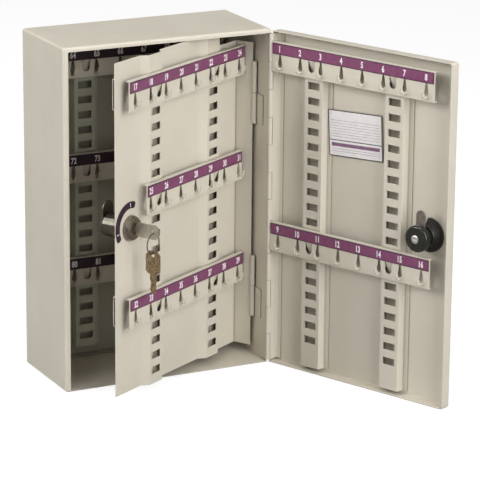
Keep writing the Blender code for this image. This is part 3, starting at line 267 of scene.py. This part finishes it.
# Smooth plate, with one clear highlight.
nickel = make_metal("bright_nickel_plate", "82796E", "9A9185", 14 * MM, 0.24, 0.30, 0.001 * MM)
bronzed_nickel = make_metal("bronzed_nickel_plate", "63594A", "7F7462", 5 * MM, 0.26, 0.34, 0.002 * MM)
# Duller, so its highlight is wide and soft, and darker, which is partly painted shade for the sleeve and cam
# that sit in the shade inside the body.
dull_shaded_nickel = make_metal("dull_shaded_nickel_plate", "5B5850", "716D63", 6 * MM, 0.30, 0.38, 0.001 * MM)
key_nickel = make_metal("worn_key_nickel", "CBBFAE", "DFD5C6", 6 * MM, 0.34, 0.44, 0.003 * MM)
# Zinc is slightly mottled and half dull.
zinc = make_metal("zinc_plated_steel", "8E857C", "A2988E", 5 * MM, 0.28, 0.42)
bright_zinc = make_metal("bright_zinc_screw", "D2D0CA", "E4E2DC", 3 * MM, 0.30, 0.42)
# Brass worn by hands: small patches and deeper marks.
brass = make_metal("worn_key_brass", "80684C", "C9B08C", 2.4 * MM, 0.26, 0.40, 0.014 * MM)
print("made", nickel.name, bronzed_nickel.name, dull_shaded_nickel.name, zinc.name, brass.name)


# %% [markdown]
# Every node gets the finish of its material slot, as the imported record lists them. A few pieces differ
# from the others in their slot, so they have a finish of their own.

# %% Dress the nodes
FINISHES = {"grey_paint": paint, "label_film": purple_film, "card": card_paper,
            "black_plastic": black_plastic, "zinc_steel": zinc, "bright_nickel": nickel,
            "worn_brass": brass}
OWN_FINISHES = {"cabinet_back": back_shade_paint, "back_strip_left": strip_shade_paint, "back_strip_right": strip_shade_paint,
                "panel_key": key_nickel, "panel_lock_cam": dull_shaded_nickel, "panel_lock_sleeve": dull_shaded_nickel,
                "panel_lock_plug": bronzed_nickel, "door_lock_screw": bright_zinc}
SLOT_OF = {part["node"]: part["material_slot"] for part in frame["record"]["subparts"]}


def finish_of(name):
    """The finish of a node: its own, or else that of its slot."""
    return OWN_FINISHES.get(name, FINISHES[SLOT_OF[name]])


for name, node in NODES.items():
    for slot in node.material_slots:
        slot.material = finish_of(name)
print("dressed", len(NODES), "nodes,", len(OWN_FINISHES), "of them in a finish of their own")


# %% [markdown]
# Many details are flat and sit on a turned sheet: films, numbers, lock discs. Turning each by hand would
# be slow and go wrong when an angle changes, so one small class gives the reader's own flat frame for a
# node: X to the right, Y up and Z out of the sheet. It is measured on the solid itself.

# %% Flat frames
TURNS = {"root": 0.0, "door": 113.0, "door_lock": 113.0, "inner_panel": 30.4, "panel_lock": 30.4}


class Sight:
    """The flat frame of a thin plate as its reader sees it: right, up and out of the plate."""

    def __init__(self, name, from_behind):
        turn = math.radians(TURNS[NODES[name]["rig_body"]])
        side = 1 if from_behind else -1
        self.body = NODES[name]["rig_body"]
        self.out = Vector((-math.sin(turn), math.cos(turn), 0)) * side
        self.right = Vector((0, 0, 1)).cross(self.out)
        places = [self.flat(vert.co) for vert in NODES[name].data.vertices]
        self.low = Vector([min(place[axis] for place in places) for axis in range(3)])
        self.high = Vector([max(place[axis] for place in places) for axis in range(3)])
        self.places = places

    def flat(self, place):
        return Vector((place.dot(self.right), place.z, place.dot(self.out)))

    def matrix(self, middle, angle=0.0):
        """From a flat drawing round zero to its place in the world."""
        turned = Matrix((self.right, Vector((0, 0, 1)), self.out)).transposed().to_4x4()
        return turned @ Matrix.Translation(middle) @ Matrix.Rotation(angle, 4, "Z")


print("door faces", [round(part, 2) for part in Sight("door_card", True).out])


# %% [markdown]
# Pressed and folded sheet never has a knife edge: paint and the press round it by tenths of a millimetre.
# The solids could be remodelled one by one, but their shapes are right, so a copy of each is merged,
# cleaned and bevelled, and takes the solid's place. Weighted normals keep the wide faces flat.

# %% Soft edges for the sheets and keys
PAINT_EDGE = 0.3 * MM
KEY_EDGE = 0.45 * MM
SHARP_ANGLE = math.radians(35)
FLAT_ANGLE = math.radians(1)
SAME_PLACE = 0.002 * MM
# The bar's inner face lies this far behind the back of its film: a gap and the bar's own sheet.
INNER_FACE_DEPTH = 1.3 * MM
INNER_FACE_PLAY = 0.35 * MM


def keep(name, mesh, body, *stands_for):
    """Link a finished mesh as a piece, let it ride on a body and stand for CAD nodes."""
    piece = bpy.data.objects.new(name, mesh)
    bpy.context.scene.collection.objects.link(piece)
    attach(piece, body)
    if stands_for:
        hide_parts(*stands_for)
    return piece


def soften(name, edge=PAINT_EDGE, steps=2):
    """A copy of a node whose sharp edges are rounded, which takes the node's place."""
    node = NODES[name]
    shape = bmesh.new()
    shape.from_mesh(node.data)
    bmesh.ops.remove_doubles(shape, verts=shape.verts, dist=SAME_PLACE)
    bmesh.ops.dissolve_limit(shape, angle_limit=FLAT_ANGLE, verts=shape.verts, edges=shape.edges)
    sharp = [line for line in shape.edges if line.is_manifold and line.calc_face_angle() > SHARP_ANGLE]
    bmesh.ops.bevel(shape, geom=sharp, offset=edge, offset_type="OFFSET", affect="EDGES", segments=steps,
                    profile=0.5, material=-1, clamp_overlap=True)
    for face in shape.faces:
        face.smooth = True
    # Painted shade: the bar's inner face, facing the sheet behind it, takes the dark coat that stands for
    # the shade in the hollow.
    if name + "_label" in NODES:
        sight = Sight(name + "_label", "front" not in name and "back" not in name)
        inside = sight.low.z - INNER_FACE_DEPTH
        for face in shape.faces:
            near = abs(sight.flat(face.calc_center_median()).z - inside) < INNER_FACE_PLAY
            if near and face.normal.dot(sight.out) < -0.7:
                face.material_index = 1
    mesh = bpy.data.meshes.new(name + "_sheet")
    shape.to_mesh(mesh)
    shape.free()
    mesh.materials.append(finish_of(name))
    mesh.materials.append(hollow_shade_coat)
    piece = keep(name + "_sheet", mesh, node["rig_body"], name)
    piece.modifiers.new("flat_faces", "WEIGHTED_NORMAL").keep_sharp = True
    return piece


PAINTED = [name for name in NODES if SLOT_OF[name] == "grey_paint"]
sheets = [soften(name) for name in PAINTED]
sheets += [soften(name, KEY_EDGE) for name in ("panel_key", "spare_key", "door_lock_cam", "panel_lock_cam")]
print("softened", len(sheets), "sheets with", sum(len(item.data.polygons) for item in sheets), "faces")


# %% [markdown]
# Each hook bar has a purple film along its top, with a thin dark line printed round it.
# The film is a thin box in its own flat frame: one inset of the front face makes the line.
# It is a little shorter than the bar, so the bar's bright ends show, as they do on the real one.

# %% Number films
def thin_plate(width, height, thickness, round_edge):
    """A thin box with rounded upright edges, its front at +Z."""
    shape = bmesh.new()
    bmesh.ops.create_cube(shape, size=1.0)
    bmesh.ops.scale(shape, vec=(width, height, thickness), verts=shape.verts)
    upright = [line for line in shape.edges if abs(line.verts[0].co.z - line.verts[1].co.z) > thickness / 2]
    bmesh.ops.bevel(shape, geom=upright, offset=round_edge, offset_type="OFFSET", affect="EDGES",
                    segments=3, profile=0.5, material=-1)
    return shape


FILM_END = 1.4 * MM
FILM_CORNER = 0.4 * MM
FILM_LINE = 0.9 * MM


def make_film_strip(name, from_behind):
    """The printed film of one bar, with its dark line."""
    sight = Sight(name, from_behind)
    size = sight.high - sight.low
    shape = thin_plate(size.x - 2 * FILM_END, size.y, size.z, FILM_CORNER)
    front = [face for face in shape.faces if face.normal.z > 0.9]
    ring = bmesh.ops.inset_region(shape, faces=front, thickness=FILM_LINE)["faces"]
    for face in ring:
        face.material_index = 1
    bmesh.ops.transform(shape, matrix=sight.matrix((sight.low + sight.high) / 2), verts=shape.verts)
    mesh = bpy.data.meshes.new(name + "_film")
    shape.to_mesh(mesh)
    shape.free()
    mesh.materials.append(back_film if sight.body == "root" else purple_film)
    mesh.materials.append(dark_film)
    keep(name + "_film", mesh, sight.body, name)
    return sight


ROWS = {"door_bar_top": (1, 8, True), "door_bar_bottom": (9, 8, True),
        "panel_front_bar_top": (17, 8, False), "panel_front_bar_middle": (25, 7, False),
        "panel_front_bar_bottom": (32, 8, False), "panel_rear_bar_top": (40, 8, True),
        "panel_rear_bar_middle": (48, 7, True), "panel_rear_bar_bottom": (55, 8, True),
        "back_bar_top": (63, 8, False), "back_bar_middle": (71, 8, False), "back_bar_bottom": (79, 8, False)}
sights = {bar: make_film_strip(bar + "_label", row[2]) for bar, row in ROWS.items()}
longest = max((sight.high - sight.low).x for sight in sights.values())
print("films", len(sights), "the longest bar's is", round((longest - 2 * FILM_END) / MM, 1), "mm long")


# %% [markdown]
# White numbers stand above the hooks. They could be an image of print, but letters made as shapes stay
# sharp at any distance and need no file: a text curve, narrowed and made bolder, turned into a mesh
# that is only three hundredths of a millimetre thick. The numbers are one piece for each bar.

# %% Numbers
HOOK_PITCH = 33.37 * MM
DIGIT_HEIGHT = 8.2 * MM
DIGIT_NARROW = 0.72
DIGIT_BOLD = 0.36 * MM
FIGURE_SHARE = 0.73
INK = 0.03 * MM


def written(words, height, narrow, bold):
    """A mesh of flat letters centred on zero, with a hair of thickness."""
    curve = bpy.data.curves.new("words", "FONT")
    curve.body = words
    curve.size = height / FIGURE_SHARE
    curve.offset = bold
    curve.extrude = INK / 2
    curve.resolution_u = 3
    item = bpy.data.objects.new("words", curve)
    bpy.context.scene.collection.objects.link(item)
    bpy.context.view_layer.update()
    mesh = bpy.data.meshes.new_from_object(item.evaluated_get(bpy.context.evaluated_depsgraph_get()))
    bpy.data.objects.remove(item)
    shape = bmesh.new()
    shape.from_mesh(mesh)
    low = [min(vert.co[axis] for vert in shape.verts) for axis in (0, 1)]
    high = [max(vert.co[axis] for vert in shape.verts) for axis in (0, 1)]
    bmesh.ops.translate(shape, vec=(-(low[0] + high[0]) / 2, -(low[1] + high[1]) / 2, 0), verts=shape.verts)
    bmesh.ops.scale(shape, vec=(narrow, 1, 1), verts=shape.verts)
    bmesh.ops.remove_doubles(shape, verts=shape.verts, dist=0.001 * MM)
    return shape


def add_numbers(bar, first, count):
    """The row of numbers of one bar, as one piece."""
    sight = sights[bar]
    middle = (sight.low + sight.high) / 2
    whole = bpy.data.meshes.new(bar + "_numbers")
    row = bmesh.new()
    for index in range(count):
        word = written(str(first + index), DIGIT_HEIGHT, DIGIT_NARROW, DIGIT_BOLD)
        across = (index - (count - 1) / 2) * HOOK_PITCH
        place = Vector((middle.x + across, middle.y, sight.high.z + INK / 2))
        bmesh.ops.transform(word, matrix=sight.matrix(place), verts=word.verts)
        word.to_mesh(whole)
        word.free()
        row.from_mesh(whole)
    row.to_mesh(whole)
    row.free()
    whole.materials.clear()
    whole.materials.append(white_ink)
    return keep(bar + "_numbers", whole, sight.body)


numbers = [add_numbers(bar, row[0], row[1]) for bar, row in ROWS.items()]
print("number rows", len(numbers), "with", sum(len(item.data.polygons) for item in numbers), "faces")


# %% [markdown]
# A card sticks inside the door, made here as a blank form: a dark frame, a dividing line, a tinted
# band and grey rules. A plate is cut across at each line with bisect_plane, and the strips between two
# cuts take the ink, so no letters or picture are needed.

# %% Card
CARD_CORNER = 0.8 * MM
FRAME_LINE = 1.1 * MM
CARD_MARGIN = 4.2 * MM
RULE_THICK = 0.45 * MM
RULE_STEP = 3.5 * MM
UPPER_RULE = 13 * MM
UPPER_RULES = 7
LOWER_RULES = (50 * MM, 53 * MM)
DIVIDER = 38.4 * MM
TINTED_BAND = 42.5 * MM
BAND_THICK = 4.6 * MM
DARK, GREY, VIOLET = 1, 2, 3


def cut_across(shape, axis, place):
    """Cut every face of a shape at one place along an axis."""
    direction = Vector((0, 0, 0))
    direction[axis] = 1
    geometry = shape.verts[:] + shape.edges[:] + shape.faces[:]
    bmesh.ops.bisect_plane(shape, geom=geometry, plane_co=direction * place, plane_no=direction)


def make_card():
    """The blank ruled card, askew as it was stuck on."""
    sight = Sight("door_card", True)
    left = max(sight.places, key=lambda place: place.y - place.x)
    right = max(sight.places, key=lambda place: place.y + place.x)
    low = min(sight.places, key=lambda place: place.y - place.x)
    angle = math.atan2(right.y - left.y, right.x - left.x)
    width = math.hypot(right.x - left.x, right.y - left.y)
    height = math.hypot(right.x - low.x, right.y - low.y)
    shape = thin_plate(width, height, sight.high.z - sight.low.z, CARD_CORNER)
    top = height / 2
    rules = [UPPER_RULE + index * RULE_STEP for index in range(UPPER_RULES)] + list(LOWER_RULES)
    bands = [(DIVIDER, FRAME_LINE, DARK), (TINTED_BAND, BAND_THICK, VIOLET)]
    bands += [(depth, RULE_THICK, GREY) for depth in rules]
    for depth, thick, ink in bands:
        cut_across(shape, 1, top - depth)
        cut_across(shape, 1, top - depth - thick)
    for place in (FRAME_LINE, height - FRAME_LINE):
        cut_across(shape, 1, top - place)
    for place in (FRAME_LINE, CARD_MARGIN, width - CARD_MARGIN, width - FRAME_LINE):
        cut_across(shape, 0, place - width / 2)
    for face in shape.faces:
        middle = face.calc_center_median()
        if face.normal.z < 0.9:
            continue
        down = top - middle.y
        aside = width / 2 - abs(middle.x)
        if down < FRAME_LINE or down > height - FRAME_LINE or aside < FRAME_LINE:
            face.material_index = DARK
            continue
        for depth, thick, ink in bands:
            if depth < down < depth + thick and (aside > CARD_MARGIN or ink == DARK):
                face.material_index = ink
    middle = (sight.low + sight.high) / 2
    bmesh.ops.transform(shape, matrix=sight.matrix(middle, angle), verts=shape.verts)
    mesh = bpy.data.meshes.new("door_card_printed")
    shape.to_mesh(mesh)
    shape.free()
    for finish in (card_paper, dark_ink, grey_ink, violet_ink):
        mesh.materials.append(finish)
    return keep("door_card_printed", mesh, "door", "door_card")


card = make_card()
print("card", len(card.data.polygons), "faces")


# %% [markdown]
# The inner lock's two positions are marked on a curved dark label with rounded ends and two white ticks.
# A short strip is spun about the lock's centre, and bevelling the four corners of its ends rounds them.

# %% Turn label
LABEL_CENTRE_RISE = 2.5 * MM
LABEL_END_SHARE = 0.47
TICK_LENGTH = 5.0 * MM
TICK_WIDTH = 1.1 * MM
TICK_CORNER = 0.2 * MM
TICK_FROM_END = math.radians(22)


def make_turn_label():
    """The curved label beside the inner lock, with its two ticks."""
    sight = Sight("turn_label", False)
    lock = Sight("panel_lock_body", False)
    centre = Vector(((lock.low.x + lock.high.x) / 2, (lock.low.y + lock.high.y) / 2 + LABEL_CENTRE_RISE, 0))
    steps = [(place.x - centre.x, place.y - centre.y) for place in sight.places]
    outer = max(math.hypot(*step) for step in steps)
    inner = min(math.hypot(*step) for step in steps)
    angles = [math.atan2(step[1], step[0]) % (2 * math.pi) for step in steps]
    first, last = min(angles), max(angles)
    thickness = sight.high.z - sight.low.z
    shape = bmesh.new()
    corners = ((inner, 0), (outer, 0), (outer, thickness), (inner, thickness))
    end = shape.faces.new([shape.verts.new((radius, 0, up)) for radius, up in corners])
    bmesh.ops.rotate(shape, cent=(0, 0, 0), matrix=Matrix.Rotation(first, 3, "Z"), verts=shape.verts)
    bmesh.ops.spin(shape, geom=[end] + end.edges[:] + end.verts[:], cent=(0, 0, 0), axis=(0, 0, 1),
                   dvec=(0, 0, 0), angle=last - first, steps=28, use_merge=False, use_duplicate=False)
    bmesh.ops.recalc_face_normals(shape, faces=shape.faces)
    upright = [line for line in shape.edges if abs(line.verts[0].co.z - line.verts[1].co.z) > thickness / 2
               and line.is_manifold and line.calc_face_angle() > math.radians(60)]
    bmesh.ops.bevel(shape, geom=upright, offset=(outer - inner) * LABEL_END_SHARE,
                    offset_type="OFFSET", affect="EDGES", segments=6, profile=0.5, material=-1,
                    clamp_overlap=False)
    middle = Vector((centre.x, centre.y, sight.low.z))
    bmesh.ops.transform(shape, matrix=sight.matrix(middle), verts=shape.verts)
    mesh = bpy.data.meshes.new("turn_label_arc")
    shape.to_mesh(mesh)
    shape.free()
    mesh.materials.append(dark_film)
    keep("turn_label_arc", mesh, "inner_panel", "turn_label")
    ticks = bmesh.new()
    for angle in (first + TICK_FROM_END, last - TICK_FROM_END):
        tick = thin_plate(TICK_LENGTH, TICK_WIDTH, INK, TICK_CORNER)
        outwards = Matrix.Translation(((inner + outer) / 2, 0, thickness + INK))
        turned = Matrix.Rotation(angle, 4, "Z") @ outwards
        bmesh.ops.transform(tick, matrix=sight.matrix(middle) @ turned, verts=tick.verts)
        part = bpy.data.meshes.new("tick")
        tick.to_mesh(part)
        tick.free()
        ticks.from_mesh(part)
    mesh = bpy.data.meshes.new("turn_label_ticks")
    ticks.to_mesh(mesh)
    ticks.free()
    mesh.materials.append(white_ink)
    keep("turn_label_ticks", mesh, "inner_panel")
    return math.degrees(last - first)


print("turn label sweeps", round(make_turn_label()), "degrees")


# %% [markdown]
# The outer lock is black plastic: a ridged cone stands on the door, open on one quarter where the
# tongue turns, and a glossy cap covers it. Both are round, so each is one profile turned about the
# lock's axis with spin. The screw in the cap is bright zinc with a cross in its head.

# %% Outer lock
CONE_BORE = 12.4 * MM
CONE_TOP = 13.6 * MM
RIDGE_END = 14.2 * MM
RIDGES = 4
RIDGE_SHARES = (0.3, 0.9)
CONE_START = math.radians(92)
CONE_SWEEP = math.radians(272)
CAP_BORE = 2.5 * MM
WHOLE_TURN = math.radians(360)


def spun(name, profile, sight, place, first, sweep, steps, finish, body, node):
    """Turn a closed profile of (radius, height) points about a lock's axis."""
    shape = bmesh.new()
    end = shape.faces.new([shape.verts.new((radius, 0, up)) for radius, up in profile])
    bmesh.ops.rotate(shape, cent=(0, 0, 0), matrix=Matrix.Rotation(first, 3, "Z"), verts=shape.verts)
    whole = abs(sweep) >= WHOLE_TURN
    geometry = end.edges[:] + end.verts[:] if whole else [end] + end.edges[:] + end.verts[:]
    bmesh.ops.spin(shape, geom=geometry, cent=(0, 0, 0), axis=(0, 0, 1), dvec=(0, 0, 0), angle=sweep,
                   steps=steps, use_merge=whole, use_duplicate=False)
    if whole:
        bmesh.ops.delete(shape, geom=[face for face in shape.faces if len(face.verts) == len(profile)],
                         context="FACES_ONLY")
        bmesh.ops.remove_doubles(shape, verts=shape.verts, dist=SAME_PLACE)
    bmesh.ops.recalc_face_normals(shape, faces=shape.faces)
    bmesh.ops.transform(shape, matrix=sight.matrix(place), verts=shape.verts)
    for face in shape.faces:
        face.smooth = True
    mesh = bpy.data.meshes.new(name)
    shape.to_mesh(mesh)
    shape.free()
    mesh.materials.append(finish)
    mesh.set_sharp_from_angle(angle=math.radians(32))
    return keep(name, mesh, body, node)


def make_outer_lock():
    """The ridged cone and the cap of the outer lock."""
    cap = Sight("door_lock_cap", True)
    disc = Sight("door_lock_disc", True)
    centre = Vector(((cap.low.x + cap.high.x) / 2, (cap.low.y + cap.high.y) / 2, 0))
    bottom, top = disc.low.z, disc.high.z
    wide = disc.high.x - centre.x
    ridges = []
    for index in range(RIDGES):
        share = index / RIDGES
        radius = wide + (RIDGE_END - wide) * share
        level = (top - bottom) * (RIDGE_SHARES[0] + (RIDGE_SHARES[1] - RIDGE_SHARES[0]) * share)
        ridges += [(radius, level), (radius - 0.5 * MM, level + 1.0 * MM),
                   (radius - 1.3 * MM, level + 0.7 * MM)]
    profile = [(CONE_BORE, 0), (wide, 0)] + ridges + [(CONE_TOP, top - bottom), (CONE_BORE, top - bottom)]
    place = Vector((centre.x, centre.y, bottom))
    cone = spun("door_lock_cone", profile, disc, place, CONE_START, -CONE_SWEEP, 48, dull_plastic, "door",
                "door_lock_disc")
    low, high = cap.low.z, cap.high.z
    rim = cap.high.x - centre.x
    tall = high - low
    foot = [(CAP_BORE, 0), (rim - 0.8 * MM, 0), (rim, 0.9 * MM), (rim, tall - 3.0 * MM)]
    shoulder = [(rim - 0.4 * MM, tall - 1.7 * MM), (rim - 1.2 * MM, tall - 0.7 * MM),
                (rim - 2.4 * MM, tall - 0.15 * MM), (rim - 3.4 * MM, tall)]
    groove = [(rim - 4.0 * MM, tall - 0.5 * MM), (rim - 4.8 * MM, tall - 0.5 * MM)]
    middle = [(rim - 5.2 * MM, tall - 0.1 * MM), (CAP_BORE, tall - 0.1 * MM)]
    place = Vector((centre.x, centre.y, low))
    face = spun("door_lock_round_cap", foot + shoulder + groove + middle, cap, place, 0.0, WHOLE_TURN, 64,
                black_plastic, "door_lock", "door_lock_cap")
    return cone, face


cone, cap_piece = make_outer_lock()
print("outer lock", len(cone.data.polygons) + len(cap_piece.data.polygons), "faces")


# %% [markdown]
# The camera stands where the photograph was taken: the angles came from the straight edges of the box.

# %% Camera
YAW = math.radians(26.65)
PITCH = math.radians(16.36)
ROLL = math.radians(0.51)
LENS = 211.8
SENSOR = 36.0
VIEW_POINT = (-1.47856, -3.28106, 0.98280)


def make_camera():
    """The photograph's view point, given by its place and three angles."""
    forward = Vector((math.sin(YAW) * math.cos(PITCH), math.cos(YAW) * math.cos(PITCH), -math.sin(PITCH)))
    right = Vector((math.cos(YAW), -math.sin(YAW), 0))
    up = right.cross(forward)
    turned_right = math.cos(ROLL) * right + math.sin(ROLL) * up
    turned_up = -math.sin(ROLL) * right + math.cos(ROLL) * up
    turn = Matrix((turned_right, turned_up, -forward)).transposed().to_4x4()
    data = bpy.data.cameras.new("camera")
    data.sensor_width = SENSOR
    data.lens = LENS
    camera = bpy.data.objects.new("camera", data)
    camera.matrix_world = Matrix.Translation(VIEW_POINT) @ turn
    bpy.context.scene.collection.objects.link(camera)
    bpy.context.scene.camera = camera
    return camera


camera = make_camera()
print("camera at", [round(part, 3) for part in camera.location])


# %% [markdown]
# Soft studio light: one wide lamp beside the left wall, one low in front, and weaker ones above and near.
# The left wall and the fronts shine, while the inside stays dark, as in the photograph.
# The room is grey in front and dark behind, so the metals have something dark to mirror, while the
# camera alone sees it white. Camera rays also see the floor brighter than it is lit.

# %% Light, room and floor
MIDDLE = (0, -0.2, 0)
BODY_MIDDLE = (-0.05, -0.05, 0)
# Each lamp's place and target in metres, its width in metres and its power in watts.
LAMPS = {"side_lamp": ((-3.09, 0.63, 1.69), MIDDLE, 1.8, 78),
         "front_lamp": ((0.48, -3.64, 0.93), MIDDLE, 1.8, 72),
         "top_lamp": ((-0.1, -0.05, 3.6), BODY_MIDDLE, 1.0, 42),
         "near_lamp": ((0.55, -1.6, 1.2), MIDDLE, 0.9, 10),
         "left_lamp": ((-1.4, -1.2, 1.3), MIDDLE, 0.9, 5.5)}
ROOM_FRONT = 0.26
ROOM_BACK = 0.06
FLOOR_HALF = 6.0
FLOOR_FAR = 9.0
FLOOR_DROP = 0.3 * MM
FLOOR_GREY = (0.3, 0.3, 0.3, 1.0)
FLOOR_GLOW = 0.8


def make_lamp(name, place, target, size, power):
    """A square area lamp that looks at a target."""
    data = bpy.data.lights.new(name, "AREA")
    data.size = size
    data.energy = power
    lamp = bpy.data.objects.new(name, data)
    lamp.location = place
    lamp.rotation_mode = "QUATERNION"
    lamp.rotation_quaternion = (Vector(target) - Vector(place)).to_track_quat("-Z", "Y")
    bpy.context.scene.collection.objects.link(lamp)
    return lamp


def make_world():
    """A room, grey in front and dark behind, that the camera sees as white."""
    world = bpy.data.worlds.new("studio")
    world.use_nodes = True
    bpy.context.scene.world = world
    background = world.node_tree.nodes["Background"]
    seen = add_node(world, "LightPath").outputs["Is Camera Ray"]
    direction = add_node(world, "TexCoord").outputs["Generated"]
    depth = add_node(world, "SeparateXYZ", {"Vector": direction}).outputs["Y"]
    room = add_node(world, "MapRange", {"Value": depth, "From Min": -0.3, "From Max": 0.5,
                                        "To Min": ROOM_FRONT, "To Max": ROOM_BACK}).outputs["Result"]
    shade = add_node(world, "Math", {0: room, 1: seen}, operation="MAXIMUM")
    world.node_tree.links.new(shade.outputs["Value"], background.inputs["Color"])
    background.inputs["Strength"].default_value = 1.0
    return world


def make_floor():
    """A pale floor just under the cabinet that the camera sees almost white."""
    shape = bmesh.new()
    level = cad_low.z - FLOOR_DROP
    places = ((-FLOOR_HALF, -FLOOR_HALF), (FLOOR_HALF, -FLOOR_HALF),
              (FLOOR_HALF, FLOOR_FAR), (-FLOOR_HALF, FLOOR_FAR))
    shape.faces.new([shape.verts.new((x, y, level)) for x, y in places])
    mesh = bpy.data.meshes.new("floor")
    shape.to_mesh(mesh)
    shape.free()
    material, shader, _ = new_material("pale_floor", Roughness=0.9)
    shader.inputs["Base Color"].default_value = FLOOR_GREY
    shader.inputs["Emission Color"].default_value = (1.0, 1.0, 1.0, 1.0)
    seen = add_node(material, "LightPath").outputs["Is Camera Ray"]
    glow = add_node(material, "Math", {0: seen, 1: FLOOR_GLOW}, operation="MULTIPLY")
    join(material, glow.outputs["Value"], shader, "Emission Strength")
    mesh.materials.append(material)
    floor = bpy.data.objects.new("floor", mesh)
    bpy.context.scene.collection.objects.link(floor)
    return floor


make_world()
make_floor()
for name, settings in LAMPS.items():
    make_lamp(name, *settings)
bpy.context.scene.view_settings.view_transform = "Standard"


# %% [markdown]
# The last cell prints the size of the solids' box.

# %% Print the size of the solids
print("cad box", [round(side / MM, 1) for side in cad_high - cad_low])
